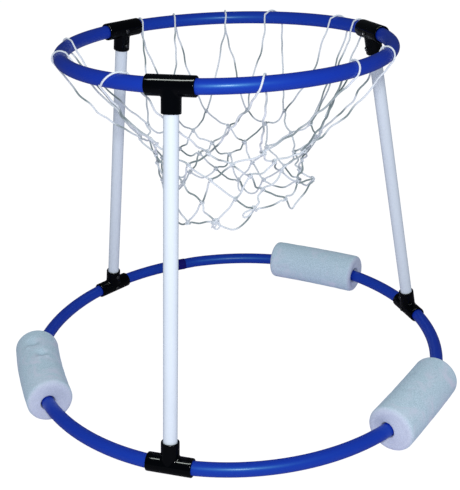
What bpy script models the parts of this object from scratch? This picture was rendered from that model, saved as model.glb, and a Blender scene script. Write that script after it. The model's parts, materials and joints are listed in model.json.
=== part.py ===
"""Floating basketball hoop for a swimming pool.

A blue pipe rim stands on three white pipe legs over a wider blue pipe base ring. Black tees
join the legs to both rings and two screws hold each tee. Three foam sleeves slide round the
base ring and float the hoop, and a knotted cord net hangs from the rim.
Metres, +Z up. The hoop axis is the vertical line through the middle of both rings.
"""
import math

import bmesh
import bpy
import numpy as np
from mathutils import Matrix, Vector

# Rings and legs
RIM_RADIUS = 0.235          # hoop axis to the middle of the rim pipe
BASE_RADIUS = 0.3266        # hoop axis to the middle of the base pipe
RIM_RISE = 0.4928           # base ring plane up to the rim plane
PIPE_OD = 0.020
PIPE_WALL = 0.002
LEG_OD = 0.0195
LEG_WALL = 0.002
LEG_AZIMUTHS = {"front": 253.2, "back_left": 135.6, "right": 18.3}

# Clearances
FIT_GAP = 0.0003            # left between pieces that seat on or in each other
CORD_GAP = 0.0004           # left between a net loop and the pipe it hangs over

# Tees
TEE_LENGTH = 0.065
TEE_OD = 0.0262
BRANCH_OD = 0.0254
BRANCH_REACH = 0.034        # run axis to the mouth of the branch
TEE_CHAMFER = 0.0014
MOUTH_FLARE = 0.0010
TEE_NAMES = {"rim": "rim_tee_", "base": "base_tee_"}

# Screws
SCREW_HEAD_OD = 0.0066
SCREW_HEAD_HEIGHT = 0.0022
HEAD_CROWN = [(0.55, 1.0), (0.88, 0.72), (1.0, 0.35)]   # shares of the head's radius and height
SCREW_OD = 0.0035
SCREW_LENGTH = 0.0085
BRANCH_SCREW_AT = 0.024     # run axis to the screw in the branch

# Ring joints
COUPLER_AZIMUTH = 109.6
COLLAR_LENGTH = 0.024
COLLAR_OD = 0.0212
SPIGOT_LENGTH = 0.020
SPIGOT_BARBS = 3
BARB_DEPTH = 0.0008
BARB_SHARES = (0.05, 0.25, 0.35)    # neck, foot and crest of a barb along its pitch
INSERT_WALL = 0.0022
RIM_JOINT_OFFSET = 0.018    # middle of the front rim tee to the meeting pipe ends
JOINER_LENGTH = 0.028

# Foam floats
FLOAT_AZIMUTHS = {"left": 194.0, "back": 60.0, "right": 324.0}
FLOAT_LENGTH = 0.170
FLOAT_OD = 0.070
FLOAT_BORE = 0.0275
FLOAT_EDGE = 0.006
REST_FLAT = 0.0005          # depth of the flat that each float stands on
SEAT_LIFT = 0.4             # shares of the play between a float's bore and the pipe that are taken up
SEAT_MIDDLE = 0.85
SEAT_ENDS = 0.9

# Net, counted anticlockwise from above; lists run over its loops, columns or rows
CORD_OD = 0.0029
KNOT_SIZE = 0.0056
KNOT_DEPTH = 0.8            # front to back, as a share of the size
TIE_KNOT = (4, 8)           # row and column of the bulky knot that closes the hem
TIE_KNOT_SIZE = 0.0095
STUB_SHARE = 0.95           # knot's middle to a settled cord, as a share of the knot's size
CORNER_PULL = 1.2           # how much a cord leaves by the knot's corner rather than by its own aim
HOOK_AZIMUTHS = [28.5, 39.5, 70.0, 90.0, 111.0, 126.5, 170.0, 192.5, 233.5, 280.0, 312.5, 335.0]
HOOK_TO_TEE = 0.004         # least distance from a tee's mouth to a net loop
# How far along the rim a loop goes from its inner side to its outer side
LOOP_SKEWS = [-0.003, -0.021, -0.024, 0.003, -0.006, -0.006, -0.028, -0.012, -0.034, -0.014, -0.012, -0.012]
LEG_REACHES = [0.158, 0.160, 0.160, 0.161, 0.160, 0.166, 0.172, 0.176, 0.198, 0.186, 0.175, 0.168]
BAR_REACHES = [0.046, 0.045, 0.043, 0.040]
KNOT_SPREADS = [0.062, 0.054, 0.050, 0.046, 0.044]  # least distances between a row's neighbours
HEM_DROPS = [0.012, 0.026, 0.008, 0.014, 0.012, 0.016, 0.018, 0.002, 0.024, 0.004, 0.026, 0.010]
HEM_STEPS = 7
LOOP_POINTS = 8
LEG_POINTS = 3
BAR_POINTS = 2
LEG_SPARE = (0.0004, 0.0022)    # least and most spare length of the two legs below a loop
LEAST_SPARE = 0.005         # spare length of the tautest cord, as a share of its span
SINGLE_WAVE = 0.5           # share of the short cords that bow once, and not twice
REACH_SCATTER = 0.05
NET_SEED = 3

# The net before it falls, and how it comes to rest
START_RADIUS = 0.15         # hoop axis to the top row of knots
START_DROP = 0.12           # rim plane down to the top row
ROW_INSET = 0.012           # how far inside the row above each row starts
ROW_DROP = 0.03             # how far below the row above each row starts
SETTLE_STEPS = 2500
STEP_FALL = 2e-5
SPEED_KEPT = 0.97           # from one step to the next
PULLS_PER_STEP = 6
SPREAD_STIFFNESS = 0.15

# Knots that were hitched up, dropped or pulled aside: shifts along X and Z in millimetres
STRAYS = {
    (0, 0): (-4, -10), (0, 1): (-3, -3), (0, 3): (-6, 2), (0, 4): (-7, 2), (0, 5): (-1, -11),
    (0, 8): (-1, 7), (0, 9): (-6, 8), (0, 10): (-9, -9), (0, 11): (-11, -17),
    (1, 0): (-2, -5), (1, 1): (-8, -2), (1, 2): (-1, 9), (1, 3): (-3, 10), (1, 4): (-6, 5),
    (1, 8): (4, -6), (1, 9): (-6, 9), (1, 10): (-15, 6), (1, 11): (-9, -3),
    (2, 0): (-17, -3), (2, 1): (-22, 7), (2, 2): (-10, 14), (2, 3): (-1, 18), (2, 4): (-5, 5),
    (2, 7): (10, -10), (2, 9): (-13, 14), (2, 10): (-25, 0), (2, 11): (-15, 0),
    (3, 0): (-11, 8), (3, 1): (-17, 3), (3, 2): (-25, 14), (3, 3): (-7, 24), (3, 4): (7, 33),
    (3, 7): (2, -14), (3, 8): (9, -7), (3, 9): (4, -3), (3, 10): (-25, 7), (3, 11): (-8, 7),
    (4, 0): (-4, 20), (4, 1): (-34, 9), (4, 2): (-21, 7), (4, 3): (1, 25), (4, 4): (12, 32),
    (4, 7): (7, -23), (4, 8): (0, -10), (4, 9): (-2, -5), (4, 10): (-7, 18), (4, 11): (13, 31),
}

# Facets
PIPE_SIDES = 12
TEE_SIDES = 16
LEG_SIDES = 16
FLOAT_SIDES = 20
FLOAT_STEPS = 5
SCREW_SIDES = 8
ARC_STEP = math.radians(7.5)

FINISHES = {
    "pipe_blue": ((0.020, 0.055, 0.42), 0.32),
    "tee_black": ((0.010, 0.011, 0.016), 0.22),
    "leg_white": ((0.80, 0.84, 0.92), 0.30),
    "foam_white": ((0.72, 0.78, 0.84), 0.85),
    "screw_grey": ((0.45, 0.46, 0.48), 0.35),
    "cord_white": ((0.78, 0.80, 0.80), 0.80),
}

UP = Vector((0.0, 0.0, 1.0))


def clear_scene():
    """Remove every object that the file opens with."""
    for old in list(bpy.data.objects):
        bpy.data.objects.remove(old)


def make_collection(name):
    """Add a collection to the scene."""
    collection = bpy.data.collections.new(name)
    bpy.context.scene.collection.children.link(collection)
    return collection


clear_scene()
PARTS = make_collection("floating_basketball_hoop")
CUTTERS = make_collection("cutters")
FRAME = bpy.data.objects.new("hoop_frame", None)
PARTS.objects.link(FRAME)


def finish_material(name, finish):
    """Make one piece's own material from the table of finishes."""
    colour, roughness = FINISHES[finish]
    material = bpy.data.materials.new(name + "_" + finish)
    material.use_nodes = True
    shader = material.node_tree.nodes["Principled BSDF"]
    shader.inputs["Base Color"].default_value = (*colour, 1.0)
    shader.inputs["Roughness"].default_value = roughness
    shader.inputs["Metallic"].default_value = 1.0 if finish == "screw_grey" else 0.0
    return material


def add_part(name, mesh, finish, matrix=None):
    """Link one named piece, carried by the hoop's frame."""
    part = bpy.data.objects.new(name, mesh)
    PARTS.objects.link(part)
    part.parent = FRAME
    part.matrix_local = matrix if matrix else Matrix.Identity(4)
    part.data.materials.clear()
    part.data.materials.append(None)
    slot = part.material_slots[0]
    slot.link = "OBJECT"
    slot.material = finish_material(name, finish)
    return part


def add_cutter(name, mesh, matrix=None):
    """Link a guide that only cuts other pieces."""
    cutter = bpy.data.objects.new(name, mesh)
    CUTTERS.objects.link(cutter)
    cutter.parent = FRAME
    cutter.matrix_local = matrix if matrix else Matrix.Identity(4)
    cutter.hide_render = True
    cutter.display_type = "WIRE"
    return cutter


def boolean(part, other, operation="DIFFERENCE"):
    """Cut a piece with a guide, or join the two."""
    modifier = part.modifiers.new(other.name, "BOOLEAN")
    modifier.operation = operation
    modifier.solver = "EXACT"
    modifier.object = other


def evaluated(source):
    """Return the mesh of an object with its modifiers or its curve worked out."""
    bpy.context.view_layer.update()
    shown = source.evaluated_get(bpy.context.evaluated_depsgraph_get())
    return bpy.data.meshes.new_from_object(shown)


def face_out(mesh, sharp=40.0):
    """Weld a mesh, turn its faces outwards and shade it smooth."""
    shape = bmesh.new()
    shape.from_mesh(mesh)
    bmesh.ops.remove_doubles(shape, verts=shape.verts, dist=1e-6)
    bmesh.ops.recalc_face_normals(shape, faces=shape.faces)
    shape.to_mesh(mesh)
    shape.free()
    mesh.shade_smooth()
    mesh.set_sharp_from_angle(angle=math.radians(sharp))
    return mesh


def turned(name, profile, sides, closed=False):
    """Revolve a profile of (radius, height) points about Z with a Screw modifier."""
    mesh = bpy.data.meshes.new(name)
    points = [(radius, 0.0, height) for radius, height in profile]
    edges = [(i, i + 1) for i in range(len(points) - 1)]
    if closed:
        edges.append((len(points) - 1, 0))
    mesh.from_pydata(points, edges, [])
    blank = bpy.data.objects.new(name, mesh)
    CUTTERS.objects.link(blank)
    screw = blank.modifiers.new("Turn", "SCREW")
    screw.steps = sides
    screw.render_steps = sides
    screw.use_merge_vertices = True
    screw.merge_threshold = 0.00001
    result = face_out(evaluated(blank))
    bpy.data.objects.remove(blank)
    return result


def along_x(mesh):
    """Lay a mesh that was turned about Z along the X axis."""
    mesh.transform(Matrix.Rotation(math.radians(90.0), 4, "Y"))
    return mesh


def outside(radius, sides):
    """Radius of a bore's corners that keeps its flats a fit gap off a round piece."""
    return (radius + FIT_GAP) / math.cos(math.pi / sides)


def polar(radius, azimuth, height=0.0):
    """Point at a radius, an azimuth in degrees and a height in the hoop's frame."""
    angle = math.radians(azimuth)
    return Vector((radius * math.cos(angle), radius * math.sin(angle), height))


def tangent(azimuth):
    """Direction round the hoop at an azimuth in degrees."""
    angle = math.radians(azimuth)
    return Vector((-math.sin(angle), math.cos(angle), 0.0))


PIPE_R = PIPE_OD / 2
PIPE_BORE_R = PIPE_R * math.cos(math.pi / PIPE_SIDES) - PIPE_WALL
INSERT_R = PIPE_BORE_R - FIT_GAP
TEE_SPAN = TEE_LENGTH / 2 + FIT_GAP
COUPLER_SPAN = COLLAR_LENGTH / 2 + SPIGOT_LENGTH + FIT_GAP
CORD_HALF = CORD_OD / 2 * math.sqrt(math.pi) / 2    # half side of a square as large as the cord


def chord_radius(radius, half_span):
    """Distance from the hoop axis to the middle of a straight stretch of a ring."""
    return math.sqrt(radius * radius - half_span * half_span)


def frame_matrix(origin, x_axis, z_axis):
    """Placement with the given X and Z directions, which are square to each other."""
    y_axis = z_axis.cross(x_axis)
    columns = Matrix((x_axis, y_axis, z_axis)).transposed()
    return Matrix.Translation(origin) @ columns.to_4x4()


def tee_placements():
    """Work out where each leg's two tees sit, with the branches facing each other."""
    places = {}
    for name, azimuth in LEG_AZIMUTHS.items():
        low = polar(chord_radius(BASE_RADIUS, TEE_SPAN), azimuth)
        high = polar(chord_radius(RIM_RADIUS, TEE_SPAN), azimuth, RIM_RISE)
        leg_up = (high - low).normalized()
        places["base", name] = frame_matrix(low, tangent(azimuth), leg_up)
        places["rim", name] = frame_matrix(high, -tangent(azimuth), -leg_up)
    return places


TEES = tee_placements()


def ring_points(radius, straights, first, last):
    """Follow a ring from its first end to its last.

    The straights are (azimuth, half length) stretches inside fittings, where the pipe runs
    along a chord. The ends are (azimuth, distance along the chord) pairs on such stretches.
    """
    def on_chord(azimuth, half, distance):
        return polar(chord_radius(radius, half), azimuth) + tangent(azimuth) * distance

    ordered = sorted(straights, key=lambda item: (item[0] - first[0]) % 360.0)
    start_half = ordered[0][1]
    points = [on_chord(first[0], start_half, first[1])]
    stops = ordered[1:] + [(ordered[0][0] + 360.0, start_half)]
    here = math.radians(first[0]) + math.asin(start_half / radius)
    for azimuth, half in stops:
        turn = math.asin(half / radius)
        centre = math.radians(first[0] + (azimuth - first[0]) % 360.0)
        if azimuth >= 360.0 + first[0]:
            centre = math.radians(first[0] + 360.0)
        there = centre - turn
        count = max(2, math.ceil((there - here) / ARC_STEP))
        for step in range(count + 1):
            angle = here + (there - here) * step / count
            points.append(polar(radius, math.degrees(angle)))
        here = centre + turn
    points.append(on_chord(last[0], start_half, last[1]))
    return points


def pipe_shell(name, points):
    """Bend an open tube along the points; Solidify then gives it its wall."""
    curve = bpy.data.curves.new(name, "CURVE")
    curve.dimensions = "3D"
    curve.bevel_depth = PIPE_R
    curve.bevel_resolution = PIPE_SIDES // 2 - 2
    spline = curve.splines.new("POLY")
    spline.points.add(len(points) - 1)
    for place, point in zip(spline.points, points):
        place.co = (*point, 1.0)
    guide = bpy.data.objects.new(name, curve)
    CUTTERS.objects.link(guide)
    mesh = face_out(evaluated(guide))
    bpy.data.objects.remove(guide)
    return mesh


def add_wall(part, thickness):
    """Give an open shell its wall, inwards from the shell."""
    wall = part.modifiers.new("Wall", "SOLIDIFY")
    wall.thickness = thickness
    wall.offset = -1.0
    wall.use_even_offset = True


def hole_cutter(name, matrix, inner, outer):
    """Round cutter for a screw hole, along local Y of a tee from inner to outer."""
    radius = outside(SCREW_OD / 2, SCREW_SIDES)
    mesh = turned(name, [(0.0, outer), (radius, outer), (radius, inner), (0.0, inner)], SCREW_SIDES)
    mesh.transform(Matrix.Rotation(math.radians(-90.0), 4, "X"))
    return add_cutter(name, mesh, matrix)


def build_rings():
    """Make the rim and base pipes, open where their two ends meet in a fitting."""
    tee_stretches = [(azimuth, TEE_SPAN) for azimuth in LEG_AZIMUTHS.values()]
    front = LEG_AZIMUTHS["front"]
    half_gap = FIT_GAP / 2
    rim_path = ring_points(
        RIM_RADIUS, tee_stretches,
        (front, RIM_JOINT_OFFSET + half_gap), (front, RIM_JOINT_OFFSET - half_gap),
    )
    half_collar = COLLAR_LENGTH / 2 + FIT_GAP
    base_path = ring_points(
        BASE_RADIUS, tee_stretches + [(COUPLER_AZIMUTH, COUPLER_SPAN)],
        (COUPLER_AZIMUTH, half_collar), (COUPLER_AZIMUTH, -half_collar),
    )
    for level, name, path, height in (
        ("rim", "rim_ring", rim_path, RIM_RISE),
        ("base", "base_ring", base_path, 0.0),
    ):
        ring = add_part(name, pipe_shell(name, path), "pipe_blue", Matrix.Translation(UP * height))
        add_wall(ring, PIPE_WALL)
        for leg in LEG_AZIMUTHS:
            hole = hole_cutter(name + "_hole_" + leg, TEES[level, leg], PIPE_R / 2, TEE_OD / 2)
            boolean(ring, hole)


def chamfered_rod(name, radius, bottom, top, sides):
    """Solid rod about Z with a chamfer at each end."""
    inner = radius - TEE_CHAMFER
    return turned(name, [
        (0.0, top), (inner, top), (radius, top - TEE_CHAMFER),
        (radius, bottom + TEE_CHAMFER), (inner, bottom), (0.0, bottom),
    ], sides)


def flared_bore(name, radius, bottom, top, sides):
    """Cutter for a socket about Z that opens out at both mouths."""
    past = TEE_CHAMFER
    wide = radius + MOUTH_FLARE + past
    return turned(name, [
        (0.0, top + past), (wide, top + past), (radius, top - MOUTH_FLARE),
        (radius, bottom + MOUTH_FLARE), (wide, bottom - past), (0.0, bottom - past),
    ], sides)


def tee_mesh():
    """Mould one tee: run along X, branch along +Z, two screw holes on the +Y side."""
    half = TEE_LENGTH / 2
    body = add_cutter("tee_run", along_x(chamfered_rod("tee_run", TEE_OD / 2, -half, half, TEE_SIDES)))
    inner = BRANCH_OD / 2 - TEE_CHAMFER
    branch = add_cutter("tee_branch", turned("tee_branch", [
        (0.0, BRANCH_REACH), (inner, BRANCH_REACH), (BRANCH_OD / 2, BRANCH_REACH - TEE_CHAMFER),
        (BRANCH_OD / 2, 0.0), (0.0, 0.0),
    ], TEE_SIDES))
    bore = outside(PIPE_R, TEE_SIDES)
    run_bore = add_cutter("run_bore", along_x(flared_bore("run_bore", bore, -half, half, TEE_SIDES)))
    socket = outside(LEG_OD / 2, TEE_SIDES)
    past = TEE_CHAMFER
    socket_bore = add_cutter("socket_bore", turned("socket_bore", [
        (0.0, BRANCH_REACH + past), (socket + MOUTH_FLARE + past, BRANCH_REACH + past),
        (socket, BRANCH_REACH - MOUTH_FLARE), (socket, 0.0), (0.0, 0.0),
    ], TEE_SIDES))
    branch_place = Matrix.Translation(UP * BRANCH_SCREW_AT)
    run_hole = hole_cutter("run_hole", Matrix.Identity(4), PIPE_R / 2, TEE_OD)
    branch_hole = hole_cutter("branch_hole", branch_place, LEG_OD / 4, TEE_OD)
    boolean(body, branch, "UNION")
    for cutter in (run_bore, socket_bore, run_hole, branch_hole):
        boolean(body, cutter)
    mesh = face_out(evaluated(body))
    mesh.name = "tee"
    for guide in (body, branch, run_bore, socket_bore, run_hole, branch_hole):
        bpy.data.objects.remove(guide)
    return mesh


def build_tees():
    """Place the six tees, one at each end of each leg."""
    mesh = tee_mesh()
    for (level, leg), matrix in TEES.items():
        add_part(TEE_NAMES[level] + leg, mesh, "tee_black", matrix)


def build_legs():
    """Make the three pipe legs, each standing on the base pipe and carrying the rim pipe."""
    for name in LEG_AZIMUTHS:
        low = TEES["base", name]
        high = TEES["rim", name]
        span = (high.translation - low.translation).length
        shell = bmesh.new()
        half = span / 2 - PIPE_R - FIT_GAP
        bmesh.ops.create_cone(
            shell, cap_ends=False, segments=LEG_SIDES,
            radius1=LEG_OD / 2, radius2=LEG_OD / 2, depth=half * 2,
        )
        mesh = bpy.data.meshes.new("leg_" + name)
        shell.to_mesh(mesh)
        shell.free()
        middle = low @ Matrix.Translation(UP * (span / 2))
        leg = add_part("leg_" + name, face_out(mesh), "leg_white", middle)
        add_wall(leg, LEG_WALL)
        for level in ("base", "rim"):
            place = TEES[level, name] @ Matrix.Translation(UP * BRANCH_SCREW_AT)
            hole = hole_cutter("leg_hole_" + level + "_" + name, place, LEG_OD / 4, TEE_OD / 2)
            boolean(leg, hole)


def screw_mesh():
    """Turn one pan-head screw about Z, head up, with the seat of the head at the origin."""
    head = SCREW_HEAD_OD / 2
    shank = SCREW_OD / 2
    tall = SCREW_HEAD_HEIGHT
    crown = [(head * across, tall * up) for across, up in HEAD_CROWN]
    foot = [(head, 0.0), (shank, 0.0), (shank, -SCREW_LENGTH + shank), (0.0, -SCREW_LENGTH)]
    return turned("screw", [(0.0, tall)] + crown + foot, SCREW_SIDES)


def build_screws():
    """Drive one screw into the run and one into the branch of every tee, from inside the hoop."""
    mesh = screw_mesh()
    facing_in = Matrix.Rotation(math.radians(-90.0), 4, "X")
    for (level, leg), matrix in TEES.items():
        for site, along, surface in (
            ("run", 0.0, TEE_OD / 2),
            ("branch", BRANCH_SCREW_AT, BRANCH_OD / 2),
        ):
            seat = Matrix.Translation((0.0, surface + FIT_GAP, along))
            name = "screw_" + level + "_" + leg + "_" + site
            add_part(name, mesh, "screw_grey", matrix @ seat @ facing_in)


def build_coupler():
    """Turn the barbed insert that joins the two ends of the base pipe."""
    half = COLLAR_LENGTH / 2
    pitch = SPIGOT_LENGTH / SPIGOT_BARBS
    neck, foot, crest = (pitch * share for share in BARB_SHARES)
    outline = [(COLLAR_OD / 2, 0.0), (COLLAR_OD / 2, half - BARB_DEPTH), (COLLAR_OD / 2 - BARB_DEPTH, half)]
    for barb in range(SPIGOT_BARBS):
        start = half + barb * pitch
        outline.append((INSERT_R - BARB_DEPTH, start if barb == 0 else start + neck))
        outline.append((INSERT_R - BARB_DEPTH, start + foot))
        outline.append((INSERT_R, start + crest))
    tip = half + SPIGOT_LENGTH
    bore = INSERT_R - BARB_DEPTH - INSERT_WALL
    outline.append((INSERT_R - BARB_DEPTH, tip))
    outline.append((bore, tip))
    upper = outline[1:]
    lower = [(radius, -height) for radius, height in reversed(upper)]
    mesh = along_x(turned("base_ring_coupler", upper + lower, PIPE_SIDES, closed=True))
    middle = polar(chord_radius(BASE_RADIUS, COUPLER_SPAN), COUPLER_AZIMUTH)
    place = frame_matrix(middle, tangent(COUPLER_AZIMUTH), UP)
    add_part("base_ring_coupler", mesh, "tee_black", place)


def build_joiner():
    """Turn the plain insert inside the rim pipe where its ends meet in the front tee."""
    half = JOINER_LENGTH / 2
    chamfer = INSERT_WALL / 2
    bore = INSERT_R - INSERT_WALL
    mesh = along_x(turned("rim_ring_joiner", [
        (INSERT_R - chamfer, half), (INSERT_R, half - chamfer), (INSERT_R, -half + chamfer),
        (INSERT_R - chamfer, -half), (bore, -half), (bore, half),
    ], PIPE_SIDES, closed=True))
    front = LEG_AZIMUTHS["front"]
    middle = polar(chord_radius(RIM_RADIUS, TEE_SPAN), front, RIM_RISE)
    middle += tangent(front) * RIM_JOINT_OFFSET
    add_part("rim_ring_joiner", mesh, "tee_black", frame_matrix(middle, tangent(front), UP))


def float_seat():
    """Work out how a foam sleeve, stiffer than the ring is round, sits on the curved pipe.

    The pipe lies low in the bore, against its outer side in the middle of the sleeve and
    towards its inner side at the ends. The ends have room for the coupler's collar to pass
    through, where the pipe runs straight and so dips inwards.
    Returns the sleeve's offset towards the hoop axis, its lift and its bend radius.
    """
    pipe_play = FLOAT_BORE / 2 - PIPE_R - FIT_GAP
    collar_play = FLOAT_BORE / 2 - COLLAR_OD / 2 - FIT_GAP
    lift = SEAT_LIFT * collar_play
    dip = BASE_RADIUS - chord_radius(BASE_RADIUS, COUPLER_SPAN)
    middle = SEAT_MIDDLE * math.sqrt(pipe_play ** 2 - lift ** 2)
    ends = SEAT_ENDS * math.sqrt(collar_play ** 2 - lift ** 2) - dip
    half = FLOAT_LENGTH / 2
    ring_bow = BASE_RADIUS - chord_radius(BASE_RADIUS, half)
    bow = ring_bow - middle - ends
    return middle, lift, (half * half + bow * bow) / (2.0 * bow)


def float_mesh():
    """Make one foam sleeve in the hinge's frame, lying over +X and bent round the ring."""
    inwards, lift, bend = float_seat()
    outer = FLOAT_OD / 2
    bore = FLOAT_BORE / 2 / math.cos(math.pi / FLOAT_SIDES)
    half = FLOAT_LENGTH / 2
    rounds = 3
    edge = []
    for step in range(rounds + 1):
        angle = math.radians(90.0) * step / rounds
        edge.append((
            outer - FLOAT_EDGE + FLOAT_EDGE * math.sin(angle),
            half - FLOAT_EDGE + FLOAT_EDGE * math.cos(angle),
        ))
    flank = half - FLOAT_EDGE
    side = [(outer, flank - 2.0 * flank * step / FLOAT_STEPS) for step in range(1, FLOAT_STEPS)]
    foot = [(radius, -height) for radius, height in reversed(edge)]
    tunnel = [(bore, -half + 2.0 * half * step / FLOAT_STEPS) for step in range(FLOAT_STEPS + 1)]
    mesh = turned("float", edge + side + foot + tunnel, FLOAT_SIDES, closed=True)
    centre = BASE_RADIUS - inwards - bend
    for vertex in mesh.vertices:
        out, across, along = vertex.co
        reach = bend + out
        angle = along / bend
        vertex.co = (centre + reach * math.cos(angle), reach * math.sin(angle), across + lift)
    return face_out(mesh)


def build_floats():
    """Slide the three foam sleeves onto the base pipe; each origin is on the hoop axis."""
    blank = add_cutter("float_blank", float_mesh())
    lift = float_seat()[1]
    slab_side = FLOAT_OD * 4
    slab = bmesh.new()
    bmesh.ops.create_cube(slab, size=slab_side)
    mesh = bpy.data.meshes.new("rest_plane")
    slab.to_mesh(mesh)
    slab.free()
    depth = lift - FLOAT_OD / 2 + REST_FLAT - slab_side / 2
    plane = add_cutter("rest_plane", mesh, Matrix.Translation((BASE_RADIUS, 0.0, depth)))
    boolean(blank, plane)
    cut = evaluated(blank)
    cut.shade_smooth()
    cut.set_sharp_from_angle(angle=math.radians(40.0))
    for guide in (blank, plane):
        bpy.data.objects.remove(guide)
    for name, azimuth in FLOAT_AZIMUTHS.items():
        turn = Matrix.Rotation(math.radians(azimuth), 4, "Z")
        add_part("float_" + name, cut, "foam_white", turn)


def hook_azimuths():
    """Azimuths of the middles of the net's loops, each kept clear of the mouths of the rim tees."""
    result = []
    for azimuth, skew in zip(HOOK_AZIMUTHS, LOOP_SKEWS):
        least = math.degrees((TEE_SPAN + HOOK_TO_TEE + abs(skew) / 2) / RIM_RADIUS)
        for tee in LEG_AZIMUTHS.values():
            away = (azimuth - tee + 180.0) % 360.0 - 180.0
            if abs(away) < least:
                azimuth = tee + math.copysign(least, away)
        result.append(azimuth)
    return result


def hang_net(hooks):
    """Let the knots of the net hang until they come to rest.

    Row 0 hangs between neighbouring hooks on two long legs of cord. Each later row hangs from
    two knots of the row above. A cord only pulls, so it stops a knot from going further than
    its reach, while the stiff knots hold their neighbours in a row a little apart.
    """
    scatter = np.random.default_rng(NET_SEED)
    count = len(hooks)
    rows = len(KNOT_SPREADS)
    tops = np.array([polar(RIM_RADIUS, azimuth, RIM_RISE) for azimuth in hooks])
    ring = np.append(hooks, hooks[0] + 360.0)
    gaps = (ring[:-1] + ring[1:]) / 2
    start = [
        polar(START_RADIUS - ROW_INSET * row, azimuth, RIM_RISE - START_DROP - ROW_DROP * row)
        for row in range(rows) for azimuth in (gaps if row % 2 == 0 else hooks)
    ]
    place = np.array(start)
    columns = np.arange(count)

    def vary(values):
        return np.asarray(values) * (1 + REACH_SCATTER * scatter.uniform(-1, 1, len(values)))

    upper, lower, reach = [], [], []
    for row in range(1, rows):
        for shift in ((-1, 0) if row % 2 == 1 else (0, 1)):
            upper.append((row - 1) * count + (columns + shift) % count)
            lower.append(row * count + columns)
            reach.append(vary([BAR_REACHES[row - 1]] * count))
    upper, lower, reach = np.concatenate(upper), np.concatenate(lower), np.concatenate(reach)
    left = np.arange(rows * count)
    right = np.concatenate([row * count + (columns + 1) % count for row in range(rows)])
    spread = np.concatenate([vary([value] * count) for value in KNOT_SPREADS])
    leg_knot = np.concatenate([columns, columns])
    leg_top = tops[np.concatenate([columns, (columns + 1) % count])]
    leg_reach = np.array(LEG_REACHES + LEG_REACHES)
    before = place.copy()
    for _ in range(SETTLE_STEPS):
        moving = (place - before) * SPEED_KEPT
        before = place.copy()
        place = place + moving
        place[:, 2] -= STEP_FALL
        for _ in range(PULLS_PER_STEP):
            shift = np.zeros_like(place)
            pulls = np.zeros(len(place))
            run = place[lower] - place[upper]
            length = np.linalg.norm(run, axis=1)
            tight = np.clip(length - reach, 0, None) / length
            np.add.at(shift, upper, run * tight[:, None] / 2)
            np.add.at(shift, lower, -run * tight[:, None] / 2)
            np.add.at(pulls, upper, tight > 0)
            np.add.at(pulls, lower, tight > 0)
            run = place[right] - place[left]
            length = np.linalg.norm(run, axis=1)
            close = np.clip(spread - length, 0, None) / length * SPREAD_STIFFNESS
            np.add.at(shift, left, -run * close[:, None])
            np.add.at(shift, right, run * close[:, None])
            run = place[leg_knot] - leg_top
            length = np.linalg.norm(run, axis=1)
            tight = np.clip(length - leg_reach, 0, None) / length
            np.add.at(shift, leg_knot, -run * tight[:, None])
            np.add.at(pulls, leg_knot, tight > 0)
            place = place + shift / np.maximum(pulls, 1)[:, None]
    return place.reshape(rows, count, 3)


def settled_knots(hooks):
    """Places of all the knots: where they come to rest, moved by their strays."""
    place = hang_net(hooks)
    for (row, column), (right, rise) in STRAYS.items():
        place[row, column] += np.array([right, 0.0, rise]) / 1000.0
    return place


def knot_size(row, column):
    """Size of a knot; the tie knot is the large one."""
    return TIE_KNOT_SIZE if (row, column) == TIE_KNOT else KNOT_SIZE


def stub(place, size, port, towards):
    """Point where a cord has settled just outside a knot, between the knot's corner and its aim."""
    out = Vector((place.x, place.y, 0.0)).normalized()
    side = UP.cross(out)
    across = side if port.endswith("right") else -side
    rise = UP if port.startswith("up") else -UP
    corner = (across + rise).normalized() * CORNER_PULL
    aim = (towards - place).normalized()
    return place + (corner + aim).normalized() * size * STUB_SHARE


def loop_over_rim(azimuth, skew, towards):
    """Points of a cord that comes up outside the rim pipe, over it and down inside it."""
    out = polar(1.0, azimuth)
    facet = RIM_RADIUS * (1.0 - math.cos(ARC_STEP / 2))
    centre = polar(RIM_RADIUS - facet / 2, azimuth, RIM_RISE)
    wrap = (PIPE_R + facet / 2 + CORD_GAP) / math.cos(math.pi / (2 * LOOP_POINTS)) + CORD_HALF
    aim = towards - centre
    distance = math.hypot(aim.dot(out), aim.z)
    heading = math.atan2(aim.z, aim.dot(out))
    open_half = math.acos(wrap / distance)
    sweep = 2 * math.pi - 2 * open_half
    points = []
    for step in range(LOOP_POINTS):
        share = step / (LOOP_POINTS - 1)
        angle = heading + open_half + sweep * share
        here = azimuth + math.degrees(skew / RIM_RADIUS) * (0.5 - share)
        outwards = polar(1.0, here)
        ring = polar(RIM_RADIUS - facet / 2, here, RIM_RISE)
        points.append(ring + (outwards * math.cos(angle) + UP * math.sin(angle)) * wrap)
    return points


def wander(start, end, length, waves, lean, count):
    """Points between the ends of a cord that is longer than its span.

    The spare length lets it sag, and lean is the share of that which becomes half waves to
    the sides instead.
    """
    span = end - start
    along = span.normalized()
    down = (along * UP.dot(along) - UP).normalized()
    side = along.cross(down)
    spare = max(length - span.length, span.length * LEAST_SPARE)
    height = 2.0 / math.pi * math.sqrt(spare * span.length)
    sag = height * math.sqrt(1.0 - lean * lean)
    sway = height * lean / waves
    points = []
    for step in range(1, count + 1):
        turn = math.pi * step / (count + 1)
        aside = down * sag * math.sin(turn) + side * sway * math.sin(waves * turn)
        points.append(start.lerp(end, turn / math.pi) + aside)
    return points


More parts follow.
